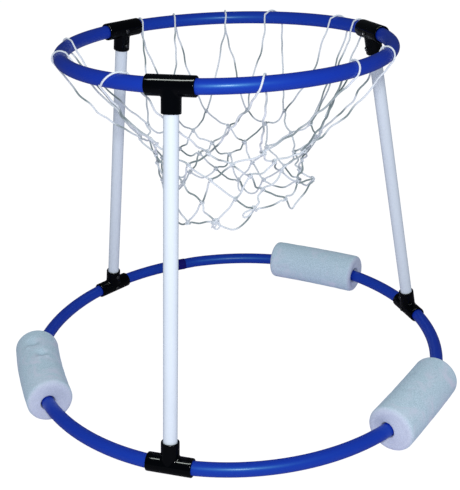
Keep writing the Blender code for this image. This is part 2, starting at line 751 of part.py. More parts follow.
def net_routes(place, hooks):
    """Route of every cord: its start and end, each a (knot, port) pair, and the points between."""
    draw = np.random.default_rng(NET_SEED + 1)
    rows, count = place.shape[:2]

    def leave(end, towards):
        knot, port = end
        return stub(Vector(place[knot]), knot_size(*knot), port, towards)

    def add(start, end, between):
        first = leave(start, between[0])
        last = leave(end, between[-1])
        routes.append((start, end, [first] + between + [last]))

    routes = []
    for column in range(count):
        before = (0, (column - 1) % count)
        start, end = (before, "up_right"), ((0, column), "up_left")
        low, high = Vector(place[before]), Vector(place[0, column])
        loop = loop_over_rim(hooks[column], LOOP_SKEWS[column], (low + high) / 2)
        stretches = []
        for one, two in ((leave(start, loop[0]), loop[0]), (loop[-1], leave(end, loop[-1]))):
            spare = draw.uniform(*LEG_SPARE)
            waves, lean = draw.integers(2, 4), draw.uniform(-1.0, 1.0)
            stretches.append(wander(one, two, (two - one).length + spare, waves, lean, LEG_POINTS))
        add(start, end, stretches[0] + loop + stretches[1])
    for row in range(1, rows):
        for column in range(count):
            first = column - 1 if row % 2 == 1 else column
            for above, port, end_port in (
                ((row - 1, first % count), "down_right", "up_left"),
                ((row - 1, (first + 1) % count), "down_left", "up_right"),
            ):
                start, end = (above, port), ((row, column), end_port)
                top, foot = Vector(place[above]), Vector(place[row, column])
                reach = BAR_REACHES[row - 1] * (1 + REACH_SCATTER * draw.uniform(-1, 1))
                waves = 1 if draw.uniform() < SINGLE_WAVE else 2
                lean = draw.uniform(-1.0, 1.0)
                one, two = leave(start, foot), leave(end, top)
                length = reach - 2 * KNOT_SIZE * STUB_SHARE
                add(start, end, wander(one, two, length, waves, lean, BAR_POINTS))
    for column in range(count):
        start = ((rows - 1, column), "down_right")
        end = ((rows - 1, (column + 1) % count), "down_left")
        low, high = Vector(place[start[0]]), Vector(place[end[0]])
        sag = []
        for step in range(1, HEM_STEPS):
            share = step / HEM_STEPS
            sag.append(low.lerp(high, share) - UP * HEM_DROPS[column] * math.sin(math.pi * share))
        add(start, end, sag)
    return routes


class NetMesh:
    """Builds the net as one closed skin: a small block for each knot, a square tube for each cord."""

    def __init__(self):
        self.shape = bmesh.new()
        self.ports = {}
        self.knots = {}

    def add_knot(self, key, place):
        """Add a knot and keep its four side faces, which the cords grow from."""
        out = Vector((place.x, place.y, 0.0)).normalized()
        side = UP.cross(out)
        half = knot_size(*key) / 2
        thick = out * half * KNOT_DEPTH
        corners = [side * half, UP * half, -side * half, -UP * half]
        front = [self.shape.verts.new(place + corner + thick) for corner in corners]
        back = [self.shape.verts.new(place + corner - thick) for corner in corners]
        self.shape.faces.new(front)
        self.shape.faces.new(back[::-1])
        self.knots[key] = (place, out)
        for index, port in enumerate(("up_right", "up_left", "down_left", "down_right")):
            after = (index + 1) % 4
            self.ports[key, port] = [front[index], back[index], back[after], front[after]]

    def add_cord(self, start, end, points):
        """Join two ports, each a (knot, port) pair, with a square tube through the points."""
        first = self.ports[start]
        last = self.ports[end]
        chain = [self.knots[start[0]][0]] + points + [self.knots[end[0]][0]]
        width = self.knots[start[0]][1].copy()
        frames = []
        for index in range(1, len(chain) - 1):
            along = (chain[index + 1] - chain[index - 1]).normalized()
            width = (width - along * width.dot(along)).normalized()
            frames.append((along, width.copy()))
        along, width = frames[-1]
        goal = self.knots[end[0]][1]
        goal = (goal - along * goal.dot(along)).normalized()
        twist = math.atan2(width.cross(goal).dot(along), width.dot(goal))
        quarter = math.pi / 2
        twist -= quarter * round(twist / quarter)
        previous = first
        for index, (point, (along, width)) in enumerate(zip(points, frames)):
            turn = Matrix.Rotation(twist * (index + 1) / len(points), 3, along)
            a = turn @ width * CORD_HALF
            b = along.cross(a)
            corners = [a + b, b - a, -a - b, a - b]
            ring = [self.shape.verts.new(point + corner) for corner in corners]
            self.bridge(previous, ring)
            previous = ring
        self.bridge(previous, last)

    def bridge(self, one, two):
        """Lay four faces between two rings of four corners, matching the nearest corners."""
        best = None
        for order in (two, two[::-1]):
            for shift in range(4):
                turned_ring = order[shift:] + order[:shift]
                cost = sum((a.co - b.co).length for a, b in zip(one, turned_ring))
                if best is None or cost < best[0]:
                    best = (cost, turned_ring)
        other = best[1]
        for index in range(4):
            after = (index + 1) % 4
            self.shape.faces.new((one[index], one[after], other[after], other[index]))

    def finish(self, name):
        """Return the skin as a mesh with its faces outwards."""
        bmesh.ops.recalc_face_normals(self.shape, faces=self.shape.faces)
        mesh = bpy.data.meshes.new(name)
        self.shape.to_mesh(mesh)
        self.shape.free()
        return mesh


def build_net():
    """Knot the net and hang it from the rim."""
    hooks = hook_azimuths()
    place = settled_knots(hooks)
    rows, count = place.shape[:2]
    net = NetMesh()
    for row in range(rows):
        for column in range(count):
            net.add_knot((row, column), Vector(place[row, column]))
    for start, end, points in net_routes(place, hooks):
        net.add_cord(start, end, points)
    add_part("net", net.finish("net"), "cord_white")


def world_bounds():
    """Lowest and highest corners of all the pieces."""
    bpy.context.view_layer.update()
    graph = bpy.context.evaluated_depsgraph_get()
    corners = []
    for part in PARTS.objects:
        if part.type == "MESH":
            shown = part.evaluated_get(graph)
            corners += [shown.matrix_world @ Vector(vertex.co) for vertex in shown.data.vertices]
    low = Vector(min(corner[axis] for corner in corners) for axis in range(3))
    high = Vector(max(corner[axis] for corner in corners) for axis in range(3))
    return low, high


def stand_on_floor():
    """Put the middle of the footprint at the origin, with the floats on the floor."""
    low, high = world_bounds()
    FRAME.location = (-(low.x + high.x) / 2, -(low.y + high.y) / 2, -low.z)
    bpy.context.view_layer.update()


build_rings()
build_tees()
build_legs()
build_screws()
build_coupler()
build_joiner()
build_floats()
build_net()
stand_on_floor()
print("hoop axis at", tuple(round(value, 5) for value in FRAME.location))
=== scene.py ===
# %% [markdown]
# # A floating basketball hoop
# The hoop is a toy for a swimming pool: two blue pipe rings, three white pipe legs, black moulded
# tees, three foam floats and a knotted net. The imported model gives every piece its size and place.
# This lesson dresses it: each piece gets a finer surface and a finish made of nodes.

# %% Load the frame
import json
import math

import bmesh
import bpy
import numpy as np
from mathutils import Matrix, Vector, noise


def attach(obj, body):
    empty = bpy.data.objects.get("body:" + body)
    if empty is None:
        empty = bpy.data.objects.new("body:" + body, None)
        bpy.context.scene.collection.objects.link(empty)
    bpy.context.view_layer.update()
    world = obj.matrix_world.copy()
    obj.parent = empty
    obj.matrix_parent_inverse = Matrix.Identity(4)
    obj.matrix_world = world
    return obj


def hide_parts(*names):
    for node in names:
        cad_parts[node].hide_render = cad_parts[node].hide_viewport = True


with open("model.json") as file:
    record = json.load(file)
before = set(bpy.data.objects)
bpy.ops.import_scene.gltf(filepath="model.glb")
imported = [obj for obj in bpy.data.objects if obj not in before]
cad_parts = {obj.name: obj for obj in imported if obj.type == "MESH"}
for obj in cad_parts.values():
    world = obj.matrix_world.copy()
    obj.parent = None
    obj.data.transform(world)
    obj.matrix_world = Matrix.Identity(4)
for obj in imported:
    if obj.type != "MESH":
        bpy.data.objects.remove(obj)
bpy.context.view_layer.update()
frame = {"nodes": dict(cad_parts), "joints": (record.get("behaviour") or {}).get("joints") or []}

# %% [markdown]
# ## Measures
# The floats slide round the base ring, so their hinge sits on the hoop's own axis, in the plane of
# the base ring. That point places everything else. The other measures are the real sizes that a
# maker would cut and mould to, in metres and degrees.

# %% Measures of the hoop
AXIS = Vector(frame["joints"][0]["pos_m"])
RIM_RADIUS = 0.235
BASE_RADIUS = 0.3266
RIM_RISE = 0.4928
PIPE_OD = 0.020
PIPE_WALL = 0.002
LEG_OD = 0.0195
LEG_AZIMUTHS = {"front": 253.2, "back_left": 135.6, "right": 18.3}
TEE_LENGTH = 0.065
TEE_OD = 0.0262
BRANCH_OD = 0.0254
BRANCH_REACH = 0.034
FIT_GAP = 0.0003
UP = Vector((0.0, 0.0, 1.0))
PIPE_R = PIPE_OD / 2
TEE_SPAN = TEE_LENGTH / 2 + FIT_GAP


def polar(radius, azimuth, height=0.0):
    """Point at a radius, an azimuth in degrees and a height above the base ring."""
    angle = math.radians(azimuth)
    return Vector((radius * math.cos(angle), radius * math.sin(angle), height))


def tangent(azimuth):
    """Direction round the hoop at an azimuth in degrees."""
    angle = math.radians(azimuth)
    return Vector((-math.sin(angle), math.cos(angle), 0.0))


def chord_radius(radius, half_span):
    """Distance from the hoop axis to the middle of a straight stretch of a ring."""
    return math.sqrt(radius * radius - half_span * half_span)


print("hoop axis at", [round(value, 4) for value in AXIS])

# %% [markdown]
# ## Camera
# The camera comes first, because every later choice is judged through it. It stands in front of
# the hoop and looks down by about 24 degrees, as a person beside the pool would.

# %% Camera
CAMERA_BACK = 1.23246
CAMERA_RISE = 0.74049
CAMERA_YAW, CAMERA_PITCH, CAMERA_ROLL = -0.2055, 24.4944, -2.0118
LENS = 66.78
SENSOR_WIDTH = 36.0


def show(name, data):
    """Put an object with the given mesh, light or camera into the scene."""
    made = bpy.data.objects.new(name, data)
    bpy.context.scene.collection.objects.link(made)
    return made


def add_camera():
    """Stand the camera in front of the hoop."""
    data = bpy.data.cameras.new("camera")
    data.sensor_fit = "HORIZONTAL"
    data.sensor_width = SENSOR_WIDTH
    data.lens = LENS
    camera = show("camera", data)
    yaw, pitch, roll = (math.radians(a) for a in (CAMERA_YAW, CAMERA_PITCH, CAMERA_ROLL))
    ahead = Vector((math.sin(yaw) * math.cos(pitch), math.cos(yaw) * math.cos(pitch), -math.sin(pitch)))
    level = Vector((math.cos(yaw), -math.sin(yaw), 0.0))
    above = level.cross(ahead)
    right = level * math.cos(roll) + above * math.sin(roll)
    top = above * math.cos(roll) - level * math.sin(roll)
    turn = Matrix((right, top, -ahead)).transposed().to_4x4()
    camera.matrix_world = Matrix.Translation(AXIS + Vector((0, -CAMERA_BACK, CAMERA_RISE))) @ turn
    bpy.context.scene.camera = camera
    return camera


camera = add_camera()
print("camera at", [round(value, 3) for value in camera.matrix_world.translation])

# %% [markdown]
# ## Helpers for nodes
# Every finish is a tree of nodes. Blender takes a line for each node, each input and each link,
# which hides what the tree does. These helpers say it in one line: an input that is given a
# number or a colour takes it, and one that is given another node's output is linked to it.

# %% Node helpers


def feed(tree, socket, value):
    """Give an input a number or colour, or link it to the output that is passed instead."""
    if isinstance(value, bpy.types.NodeSocket):
        tree.links.new(value, socket)
    elif socket.type == "RGBA":
        socket.default_value = (*value[:3], 1.0)
    else:
        socket.default_value = value


def add_node(tree, kind, **settings):
    """Add a node; settings name its properties, or its inputs with spaces as underscores."""
    node = tree.nodes.new(kind)
    for key, value in settings.items():
        label = key.replace("_", " ")
        if label in node.inputs:
            feed(tree, node.inputs[label], value)
        else:
            setattr(node, key, value)
    return node


def combine(tree, operation, first, second, kind="ShaderNodeMath"):
    """Add or multiply two values or vectors and return the output."""
    node = add_node(tree, kind, operation=operation)
    feed(tree, node.inputs[0], first)
    feed(tree, node.inputs[1], second)
    return node.outputs[0]


def mix_colour(tree, mask, first, second):
    """Mix two colours by a mask and return the output."""
    mix = add_node(tree, "ShaderNodeMix", data_type="RGBA", Factor=mask)
    feed(tree, mix.inputs[6], first)
    feed(tree, mix.inputs[7], second)
    return mix.outputs[2]


def start_finish(name, **settings):
    """Start a material; settings are plain values for its shader. Return it, its tree and shader."""
    material = bpy.data.materials.new(name)
    material.use_nodes = True
    shader = material.node_tree.nodes["Principled BSDF"]
    for key, value in settings.items():
        shader.inputs[key.replace("_", " ")].default_value = value
    return material, material.node_tree, shader


print("node helpers ready")

# %% [markdown]
# ## Room
# The hoop is lit as if by a small flash just above the lens, in a dim room with white all round.
# So one small bright light stands above the camera, and a weak even world fills the rest.
# Gloss mirrors floor and room darker than they light, which keeps the black deep and the blue
# strong. A long strip overhead draws the thin line of light along the black tees, and only they
# take it. Floor and room also look brighter to the camera than they light, so both are almost
# white, with faint shadows, while the hoop keeps its own contrast.

# %% Floor
FLOOR_SIZE = 40.0
FLOOR_GLOW = 1.15
GLOW_SHARE = 0.85
FLOOR_COLOUR = (0.92, 0.83, 0.95)
MIRRORED_FLOOR = (0.24, 0.22, 0.25)


def add_floor():
    """Lay one large pale floor that looks a little brighter than it lights."""
    half = FLOOR_SIZE / 2
    corners = [(-half, -half, 0), (half, -half, 0), (half, half, 0), (-half, half, 0)]
    mesh = bpy.data.meshes.new("floor")
    mesh.from_pydata(corners, [], [(0, 1, 2, 3)])
    floor = show("floor", mesh)
    material, tree, shader = start_finish("pale_floor", Roughness=0.9, Specular_IOR_Level=0.05)
    ray = tree.nodes.new("ShaderNodeLightPath")
    tone = mix_colour(tree, ray.outputs["Is Glossy Ray"], FLOOR_COLOUR, MIRRORED_FLOOR)
    tree.links.new(tone, shader.inputs["Base Color"])
    glow = add_node(tree, "ShaderNodeEmission", Strength=FLOOR_GLOW)
    mix = tree.nodes.new("ShaderNodeMixShader")
    share = combine(tree, "MULTIPLY", ray.outputs["Is Camera Ray"], GLOW_SHARE)
    for place, source in enumerate((share, shader.outputs[0], glow.outputs[0])):
        tree.links.new(source, mix.inputs[place])
    tree.links.new(mix.outputs[0], tree.nodes["Material Output"].inputs["Surface"])
    mesh.materials.append(material)


add_floor()
print("floor:", FLOOR_SIZE, "m square")

# %% Lights and world
FLASH_ABOVE_LENS = 0.11
FLASH_SIZE = (0.12, 0.12)
FLASH_AIM = (0.0, 0.0, 0.30)
FLASH_WATTS, FLASH_COLOUR = 9.2, (1.0, 1.0, 1.0)
STRIP_PLACE, STRIP_AIM = (0.0, -0.55, 2.2), (0.0, -0.2, 0.30)
STRIP_SIZE = (2.4, 0.30)
STRIP_WATTS, STRIP_COLOUR = 90.0, (0.92, 1.0, 0.94)
ROOM_COLOUR, ROOM_STRENGTH = (0.88, 0.96, 1.0), 0.47
MIRRORED_STRENGTH = 0.06
SEEN_STRENGTH = 1.15


def add_area(name, place, target, size, watts, colour):
    """Hang one soft rectangular light that faces a target."""
    data = bpy.data.lights.new(name, "AREA")
    data.shape = "RECTANGLE"
    data.size, data.size_y = size
    data.energy = watts
    data.color = colour
    light = show(name, data)
    light.location = place
    light.rotation_euler = (Vector(target) - Vector(place)).to_track_quat("-Z", "Y").to_euler()
    return light


def fill_world():
    """Give the room an even pale light; gloss and the camera see it at strengths of their own."""
    world = bpy.data.worlds.new("pale_room")
    world.use_nodes = True
    tree = world.node_tree
    ray = tree.nodes.new("ShaderNodeLightPath")
    level = ROOM_STRENGTH
    for kind, other in (("Is Glossy Ray", MIRRORED_STRENGTH), ("Is Camera Ray", SEEN_STRENGTH)):
        choose = add_node(tree, "ShaderNodeMapRange", Value=ray.outputs[kind], To_Min=level, To_Max=other)
        level = choose.outputs["Result"]
    background = tree.nodes["Background"]
    feed(tree, background.inputs["Color"], ROOM_COLOUR)
    feed(tree, background.inputs["Strength"], level)
    bpy.context.scene.world = world


flash_place = camera.matrix_world.translation + UP * FLASH_ABOVE_LENS
add_area("flash", flash_place, FLASH_AIM, FLASH_SIZE, FLASH_WATTS, FLASH_COLOUR)
strip = add_area("strip_light", STRIP_PLACE, STRIP_AIM, STRIP_SIZE, STRIP_WATTS, STRIP_COLOUR)
strip.visible_diffuse = False
fill_world()
bpy.context.scene.view_settings.view_transform = "Standard"

# %% [markdown]
# ## Shared surface effects
# Three effects turn up on more than one piece, so each is a node group with named sockets. Fine
# grain is the faint unevenness that moulding and extruding leave. Handling marks are hair-fine
# scratches that follow the way a pipe is slid and wiped. Pool haze is the thin dull film that
# dried pool water leaves in patches.

# %% Node group helpers


def new_group(name, inputs, output):
    """Start a shader node group with float inputs and one float output; return it and both ends."""
    group = bpy.data.node_groups.new(name, "ShaderNodeTree")
    for socket, value in inputs.items():
        item = group.interface.new_socket(socket, in_out="INPUT", socket_type="NodeSocketFloat")
        item.default_value = value
    group.interface.new_socket(output, in_out="OUTPUT", socket_type="NodeSocketFloat")
    source = group.nodes.new("NodeGroupInput")
    result = group.nodes.new("NodeGroupOutput")
    return group, source.outputs, result.inputs[output]


def place_coordinates(tree):
    """Object coordinates, which stay on a piece when it moves."""
    return tree.nodes.new("ShaderNodeTexCoord").outputs["Object"]


def above(tree, tone, least, most, amount):
    """The part of a noise that rises above a level, with soft edges, times an amount."""
    kept = add_node(
        tree, "ShaderNodeMapRange", interpolation_type="SMOOTHSTEP",
        Value=tone, From_Min=least, From_Max=most,
    )
    return combine(tree, "MULTIPLY", kept.outputs["Result"], amount)


print("group helpers ready")

# %% Fine grain


def make_fine_grain():
    """Faint all-over unevenness, put out as a height."""
    group, given, height = new_group("fine_grain", {"Scale": 400.0, "Detail": 3.0}, "Height")
    cloud = add_node(
        group, "ShaderNodeTexNoise", Vector=place_coordinates(group),
        Scale=given["Scale"], Detail=given["Detail"], Roughness=0.6,
    )
    group.links.new(cloud.outputs["Fac"], height)
    return group


fine_grain = make_fine_grain()
print("group:", fine_grain.name)

# %% Handling marks
MARK_LEVELS = (0.60, 0.72)


def make_handling_marks():
    """Hair-fine scratches as a mask, long one way and thin the other."""
    starts = {"Scale": 60.0, "Thinness": 14.0, "Amount": 0.5}
    group, given, mask = new_group("handling_marks", starts, "Mask")
    thin = combine(group, "MULTIPLY", given["Scale"], given["Thinness"])
    stretch = add_node(group, "ShaderNodeCombineXYZ", X=given["Scale"], Y=given["Scale"], Z=thin)
    place = place_coordinates(group)
    stretched = combine(group, "MULTIPLY", place, stretch.outputs[0], "ShaderNodeVectorMath")
    lines = add_node(group, "ShaderNodeTexNoise", Vector=stretched, Scale=1.0, Detail=2.0, Distortion=0.4)
    group.links.new(above(group, lines.outputs["Fac"], *MARK_LEVELS, given["Amount"]), mask)
    return group


handling_marks = make_handling_marks()
print("group:", handling_marks.name)

# %% Pool haze
HAZE_LEVELS = (0.46, 0.74)


def make_pool_haze():
    """Patches of dried film as a mask, with soft edges and a broken middle."""
    group, given, mask = new_group("pool_haze", {"Scale": 14.0, "Amount": 0.4}, "Mask")
    patches = add_node(
        group, "ShaderNodeTexNoise", Vector=place_coordinates(group),
        Scale=given["Scale"], Detail=5.0, Roughness=0.62, Distortion=0.6,
    )
    group.links.new(above(group, patches.outputs["Fac"], *HAZE_LEVELS, given["Amount"]), mask)
    return group


pool_haze = make_pool_haze()
print("group:", pool_haze.name)

# %% [markdown]
# ## Plastic finishes
# Pipe and fittings are the same kind of surface: a plain plastic colour, a little unevenness, a
# few scratches that roughen the gloss and a thin haze. One function makes them all, and each
# finish states its own colour, gloss and amounts.

# %% Surface helpers


def add_group(tree, group, **values):
    """Place a node group in a material with its own values and return its output."""
    node = tree.nodes.new("ShaderNodeGroup")
    node.node_tree = group
    for name, value in values.items():
        node.inputs[name].default_value = value
    return node.outputs[0]


def add_roughness(tree, shader, mask, smooth, dull):
    """Let a mask roughen the surface from smooth to dull."""
    rough = add_node(tree, "ShaderNodeMapRange", Value=mask, To_Min=smooth, To_Max=dull)
    tree.links.new(rough.outputs["Result"], shader.inputs["Roughness"])


def add_bump(tree, shader, height, distance, strength):
    """Raise the surface by a height."""
    bump = add_node(tree, "ShaderNodeBump", Height=height, Distance=distance, Strength=strength)
    tree.links.new(bump.outputs["Normal"], shader.inputs["Normal"])


print("surface helpers ready")

# %% Plastic
COAT_ROUGHNESS = 0.22
WORN_ROUGHER = 0.35
GRAIN_STRENGTH = 0.6


def plastic(name, colour, hazed, gloss, specular, grain_scale, grain_depth, scratch, haze, shine=(0.0, 1.0)):
    """Make one plastic finish; gloss is the roughness of the clean surface.

    The shine is the weight of a sharper gloss over it, and how much red the softer one below keeps.
    """
    coat, red_kept = shine
    material, tree, shader = start_finish(
        name, Specular_IOR_Level=specular, Specular_Tint=(red_kept, 1.0, 1.0, 1.0),
        Coat_Weight=coat, Coat_Roughness=COAT_ROUGHNESS,
    )
    marks = add_group(tree, handling_marks, Amount=scratch)
    film = add_group(tree, pool_haze, Amount=haze)
    tree.links.new(mix_colour(tree, film, colour, hazed), shader.inputs["Base Color"])
    add_roughness(tree, shader, combine(tree, "ADD", marks, film), gloss, gloss + WORN_ROUGHER)
    add_bump(tree, shader, add_group(tree, fine_grain, Scale=grain_scale), grain_depth, GRAIN_STRENGTH)
    return material


pipe_blue = plastic(
    "pipe_blue", (0.005, 0.026, 0.41), (0.007, 0.031, 0.41), gloss=0.42, specular=0.60,
    grain_scale=260.0, grain_depth=0.00003, scratch=0.3, haze=0.15, shine=(0.16, 0.25),
)
tee_black = plastic(
    "tee_black", (0.0008, 0.0012, 0.0020), (0.003, 0.004, 0.006), gloss=0.09, specular=0.14,
    grain_scale=350.0, grain_depth=0.000012, scratch=0.15, haze=0.12,
)
leg_white = plastic(
    "leg_white", (0.72, 0.80, 0.89), (0.66, 0.74, 0.83), gloss=0.26, specular=0.40,
    grain_scale=220.0, grain_depth=0.00003, scratch=0.4, haze=0.35,
)
# Painted shadow: the collar takes the dark navy of the blue pipe lying in shade.
coupler_painted_shadow_navy = plastic(
    "coupler_painted_shadow_navy", (0.008, 0.002, 0.165), (0.009, 0.003, 0.165), gloss=0.40, specular=0.20,
    grain_scale=260.0, grain_depth=0.00003, scratch=0.2, haze=0.15, shine=(0.0, 0.4),
)
print("plastics:", pipe_blue.name, tee_black.name, leg_white.name, coupler_painted_shadow_navy.name)

# %% [markdown]
# ## From rings of points to a skin
# Pipes, tees, screws, floats and cord are all rows of points that close into rings, so one helper
# lays faces over such a grid. It makes a mesh object, gives it its finish, and puts it on the
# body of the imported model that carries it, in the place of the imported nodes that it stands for.

# %% Skins


def skin_faces(rows, sides, first=0, closed=False):
    """Quads over rings of points, numbered from first; closed joins the last ring to the first."""
    last = rows if closed else rows - 1
    across = np.arange(sides)
    after = (across + 1) % sides
    faces = []
    for row in range(last):
        low = first + row * sides
        high = first + (row + 1) % rows * sides
        faces.append(np.stack([low + across, low + after, high + after, high + across], axis=1))
    return np.concatenate(faces)


class Skin:
    """Collects rings of points into one mesh."""

    def __init__(self):
        self.points = []
        self.faces = []
        self.count = 0

    def add(self, grid, closed=False, caps=False):
        """Add a grid of shape (rows, sides, 3); caps closes its two ends."""
        rows, sides = grid.shape[:2]
        self.points.append(grid.reshape(-1, 3))
        self.faces += skin_faces(rows, sides, self.count, closed).tolist()
        if caps:
            self.faces.append(list(range(self.count, self.count + sides))[::-1])
            self.faces.append(list(range(self.count + (rows - 1) * sides, self.count + rows * sides)))
        self.count += rows * sides

    def mesh(self, name, sharp=35.0):
        """Return the mesh with its faces outwards, smooth but for its edges."""
        made = bpy.data.meshes.new(name)
        made.from_pydata(np.concatenate(self.points).tolist(), [], self.faces)
        shape = bmesh.new()
        shape.from_mesh(made)
        bmesh.ops.recalc_face_normals(shape, faces=shape.faces)
        shape.to_mesh(made)
        shape.free()
        made.shade_smooth()
        made.set_sharp_from_angle(angle=math.radians(sharp))
        return made


print("a ring of 4 points, 3 times over:", len(skin_faces(3, 4)), "faces")

# %% Pieces


def add_piece(name, mesh, matrix, material, stands_for, body="hoop"):
    """Show one finished piece on its body, with its place written into its mesh."""
    mesh = mesh.copy()
    mesh.name = name
    mesh.transform(matrix)
    mesh.materials.append(material)
    piece = show(name, mesh)
    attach(piece, body)
    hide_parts(*stands_for)
    return piece


def store(mesh, name, values):
    """Keep one number for each point of a mesh, for its finish to read."""
    layer = mesh.attributes.new(name, "FLOAT", "POINT")
    layer.data.foreach_set("value", values.astype(np.float32))


HOOP = Matrix.Translation(AXIS)
print("pieces are placed from", [round(value, 4) for value in HOOP.translation])

# %% [markdown]
# ## The two rings
# Each ring is extruded pipe, bent to a circle. It runs dead straight inside a fitting, so the
# line of the ring is made of arcs and short chords. A pipe keeps its wall and its open ends: the
# skin goes along the outside and back along the bore.

# %% Ring lines
COUPLER_AZIMUTH = 109.6
COLLAR_LENGTH = 0.024
COLLAR_OD = 0.0212
SPIGOT_LENGTH = 0.020
COUPLER_SPAN = COLLAR_LENGTH / 2 + SPIGOT_LENGTH + FIT_GAP
RIM_JOINT_OFFSET = 0.018
ARC_STEP = math.radians(1.5)


def ring_points(radius, straights, first, last):
    """Follow a ring from its first end to its last, along arcs and the chords in fittings."""
    def on_chord(azimuth, half, distance):
        return polar(chord_radius(radius, half), azimuth) + tangent(azimuth) * distance

    ordered = sorted(straights, key=lambda item: (item[0] - first[0]) % 360.0)
    start_half = ordered[0][1]
    points = [on_chord(first[0], start_half, first[1])]
    here = math.radians(first[0]) + math.asin(start_half / radius)
    for azimuth, half in ordered[1:] + [(ordered[0][0] + 360.0, start_half)]:
        centre = math.radians(azimuth if azimuth > first[0] else azimuth + 360.0)
        there = centre - math.asin(half / radius)
        count = max(2, math.ceil((there - here) / ARC_STEP))
        points += [polar(radius, math.degrees(here + (there - here) * i / count)) for i in range(count + 1)]
        here = centre + math.asin(half / radius)
    points.append(on_chord(last[0], start_half, last[1]))
    return points


tee_stretches = [(azimuth, TEE_SPAN) for azimuth in LEG_AZIMUTHS.values()]
front = LEG_AZIMUTHS["front"]
rim_line = ring_points(
    RIM_RADIUS, tee_stretches,
    (front, RIM_JOINT_OFFSET + FIT_GAP / 2), (front, RIM_JOINT_OFFSET - FIT_GAP / 2),
)
half_collar = COLLAR_LENGTH / 2 + FIT_GAP
base_line = ring_points(
    BASE_RADIUS, tee_stretches + [(COUPLER_AZIMUTH, COUPLER_SPAN)],
    (COUPLER_AZIMUTH, half_collar), (COUPLER_AZIMUTH, -half_collar),
)
print("ring points:", len(rim_line), len(base_line))

# %% Ring pipes
PIPE_SIDES = 40


def pipe_rows(points, radius):
    """Rings of points round a level line of points."""
    line = np.array([tuple(point) for point in points])
    along = np.gradient(line, axis=0)
    along /= np.linalg.norm(along, axis=1)[:, None]
    side = np.stack([along[:, 1], -along[:, 0], np.zeros(len(line))], axis=1)
    turn = np.linspace(0.0, 2 * math.pi, PIPE_SIDES, endpoint=False)
    rise = np.array([0.0, 0.0, 1.0])
    return (
        line[:, None] + radius * np.cos(turn)[None, :, None] * side[:, None]
        + radius * np.sin(turn)[None, :, None] * rise
    )


def add_ring(name, points, height):
    """Show one ring of pipe with its wall."""
    skin = Skin()
    outside = pipe_rows(points, PIPE_R)
    bore = pipe_rows(points, PIPE_R - PIPE_WALL)
    skin.add(np.concatenate([outside, bore[::-1]]), closed=True)
    place = HOOP @ Matrix.Translation(UP * height)
    return add_piece(name + "_pipe", skin.mesh(name), place, pipe_blue, [name])


rings = [add_ring("rim_ring", rim_line, RIM_RISE), add_ring("base_ring", base_line, 0.0)]
print("rings:", [ring.name for ring in rings])

# %% [markdown]
# ## Tees
# A moulded tee is a run with a branch. Where two round tubes meet, a mould always leaves a small
# fillet, and without it the joint looks cut from paper. The branch here is a skirt of rings that
# lands on the run in a quarter-round fillet, which fades out where the two tubes are flush.

# %% Turned shapes
TEE_SIDES = 64
MOUTH_FLARE = 0.0010
SEAM_HEIGHT = 0.00010
SEAM_WIDTH = 0.06
SEAM_SHARE = 0.97
FLARE_WIDE, FLARE_DEEP = 0.3, 0.4


def turned_rows(profile, sides=TEE_SIDES, seam=0.0):
    """Revolve (radius, height) points about Z; seam raises two thin mould lines."""
    turn = np.linspace(0.0, 2 * math.pi, sides, endpoint=False)
    ridge = seam * np.exp(-(np.sin(turn) / SEAM_WIDTH) ** 2)
    radius = np.array([point[0] for point in profile])[:, None]
    reach = radius + np.where(radius > radius.max() * SEAM_SHARE, ridge[None, :], 0.0)
    height = np.repeat(np.array([point[1] for point in profile])[:, None], sides, axis=1)
    return np.stack([reach * np.cos(turn), reach * np.sin(turn), height], axis=2)


def rounded_end(radius, height, chamfer, steps=4):
    """Points of a quarter round from the side of a tube to its end face."""
    return [
        (
            radius - chamfer + chamfer * math.cos(math.radians(90) * i / steps),
            height - chamfer + chamfer * math.sin(math.radians(90) * i / steps),
        )
        for i in range(steps + 1)
    ]


def flared_mouth(bore, height):
    """Points from the end face of a moulding over its flared edge into its bore."""
    return [
        (bore + MOUTH_FLARE, height),
        (bore + MOUTH_FLARE * FLARE_WIDE, height - MOUTH_FLARE * FLARE_DEEP),
        (bore, height - MOUTH_FLARE),
    ]


def mirrored(profile):
    """The lower half of a profile, which goes back from the end of its upper half."""
    return [(radius, -height) for radius, height in reversed(profile)]


print("a rounded end takes", len(rounded_end(1.0, 1.0, 0.1)), "points")

# %% Tee shape
TEE_CHAMFER = 0.0014
TEE_FILLET = 0.0022
FILLET_STEPS = 7
FILLET_SHARE = 0.9
RUN_SHARES = (-0.6, -0.2, 0.2, 0.6)


def run_rows():
    """The run of a tee: outer side, rounded mouths and bore, laid along X."""
    half = TEE_LENGTH / 2
    end = rounded_end(TEE_OD / 2, half, TEE_CHAMFER) + flared_mouth(PIPE_R + FIT_GAP, half)
    side = [(TEE_OD / 2, half * share) for share in RUN_SHARES]
    rows = turned_rows(side + end + mirrored(end), seam=SEAM_HEIGHT)
    return rows[:, :, [2, 1, 0]]


def branch_rows():
    """The branch of a tee: mouth, outer side and the fillet that lands on the run."""
    turn = np.linspace(0.0, 2 * math.pi, TEE_SIDES, endpoint=False)
    radius = BRANCH_OD / 2
    run = TEE_OD / 2
    sine = np.abs(np.sin(turn))
    room = run / np.maximum(sine, 1e-6) - radius
    fillet = np.minimum(TEE_FILLET, room * FILLET_SHARE)
    rows = []
    for share in np.linspace(1.0, 0.0, FILLET_STEPS):
        reach = radius + fillet * share
        level = np.sqrt(np.maximum(run ** 2 - (reach * sine) ** 2, 0.0))
        level = level + fillet * (1.0 - np.sqrt(1.0 - (1.0 - share) ** 2))
        rows.append(np.stack([reach * np.cos(turn), reach * np.sin(turn), level], axis=1))
    sunk = rows[0].copy()
    sunk[:, 2] = 0.0
    outside = np.stack([sunk] + rows)
    socket = LEG_OD / 2 + FIT_GAP
    end = rounded_end(radius, BRANCH_REACH, TEE_CHAMFER) + flared_mouth(socket, BRANCH_REACH)
    return np.concatenate([outside, turned_rows(end + [(socket, 0.0)])])


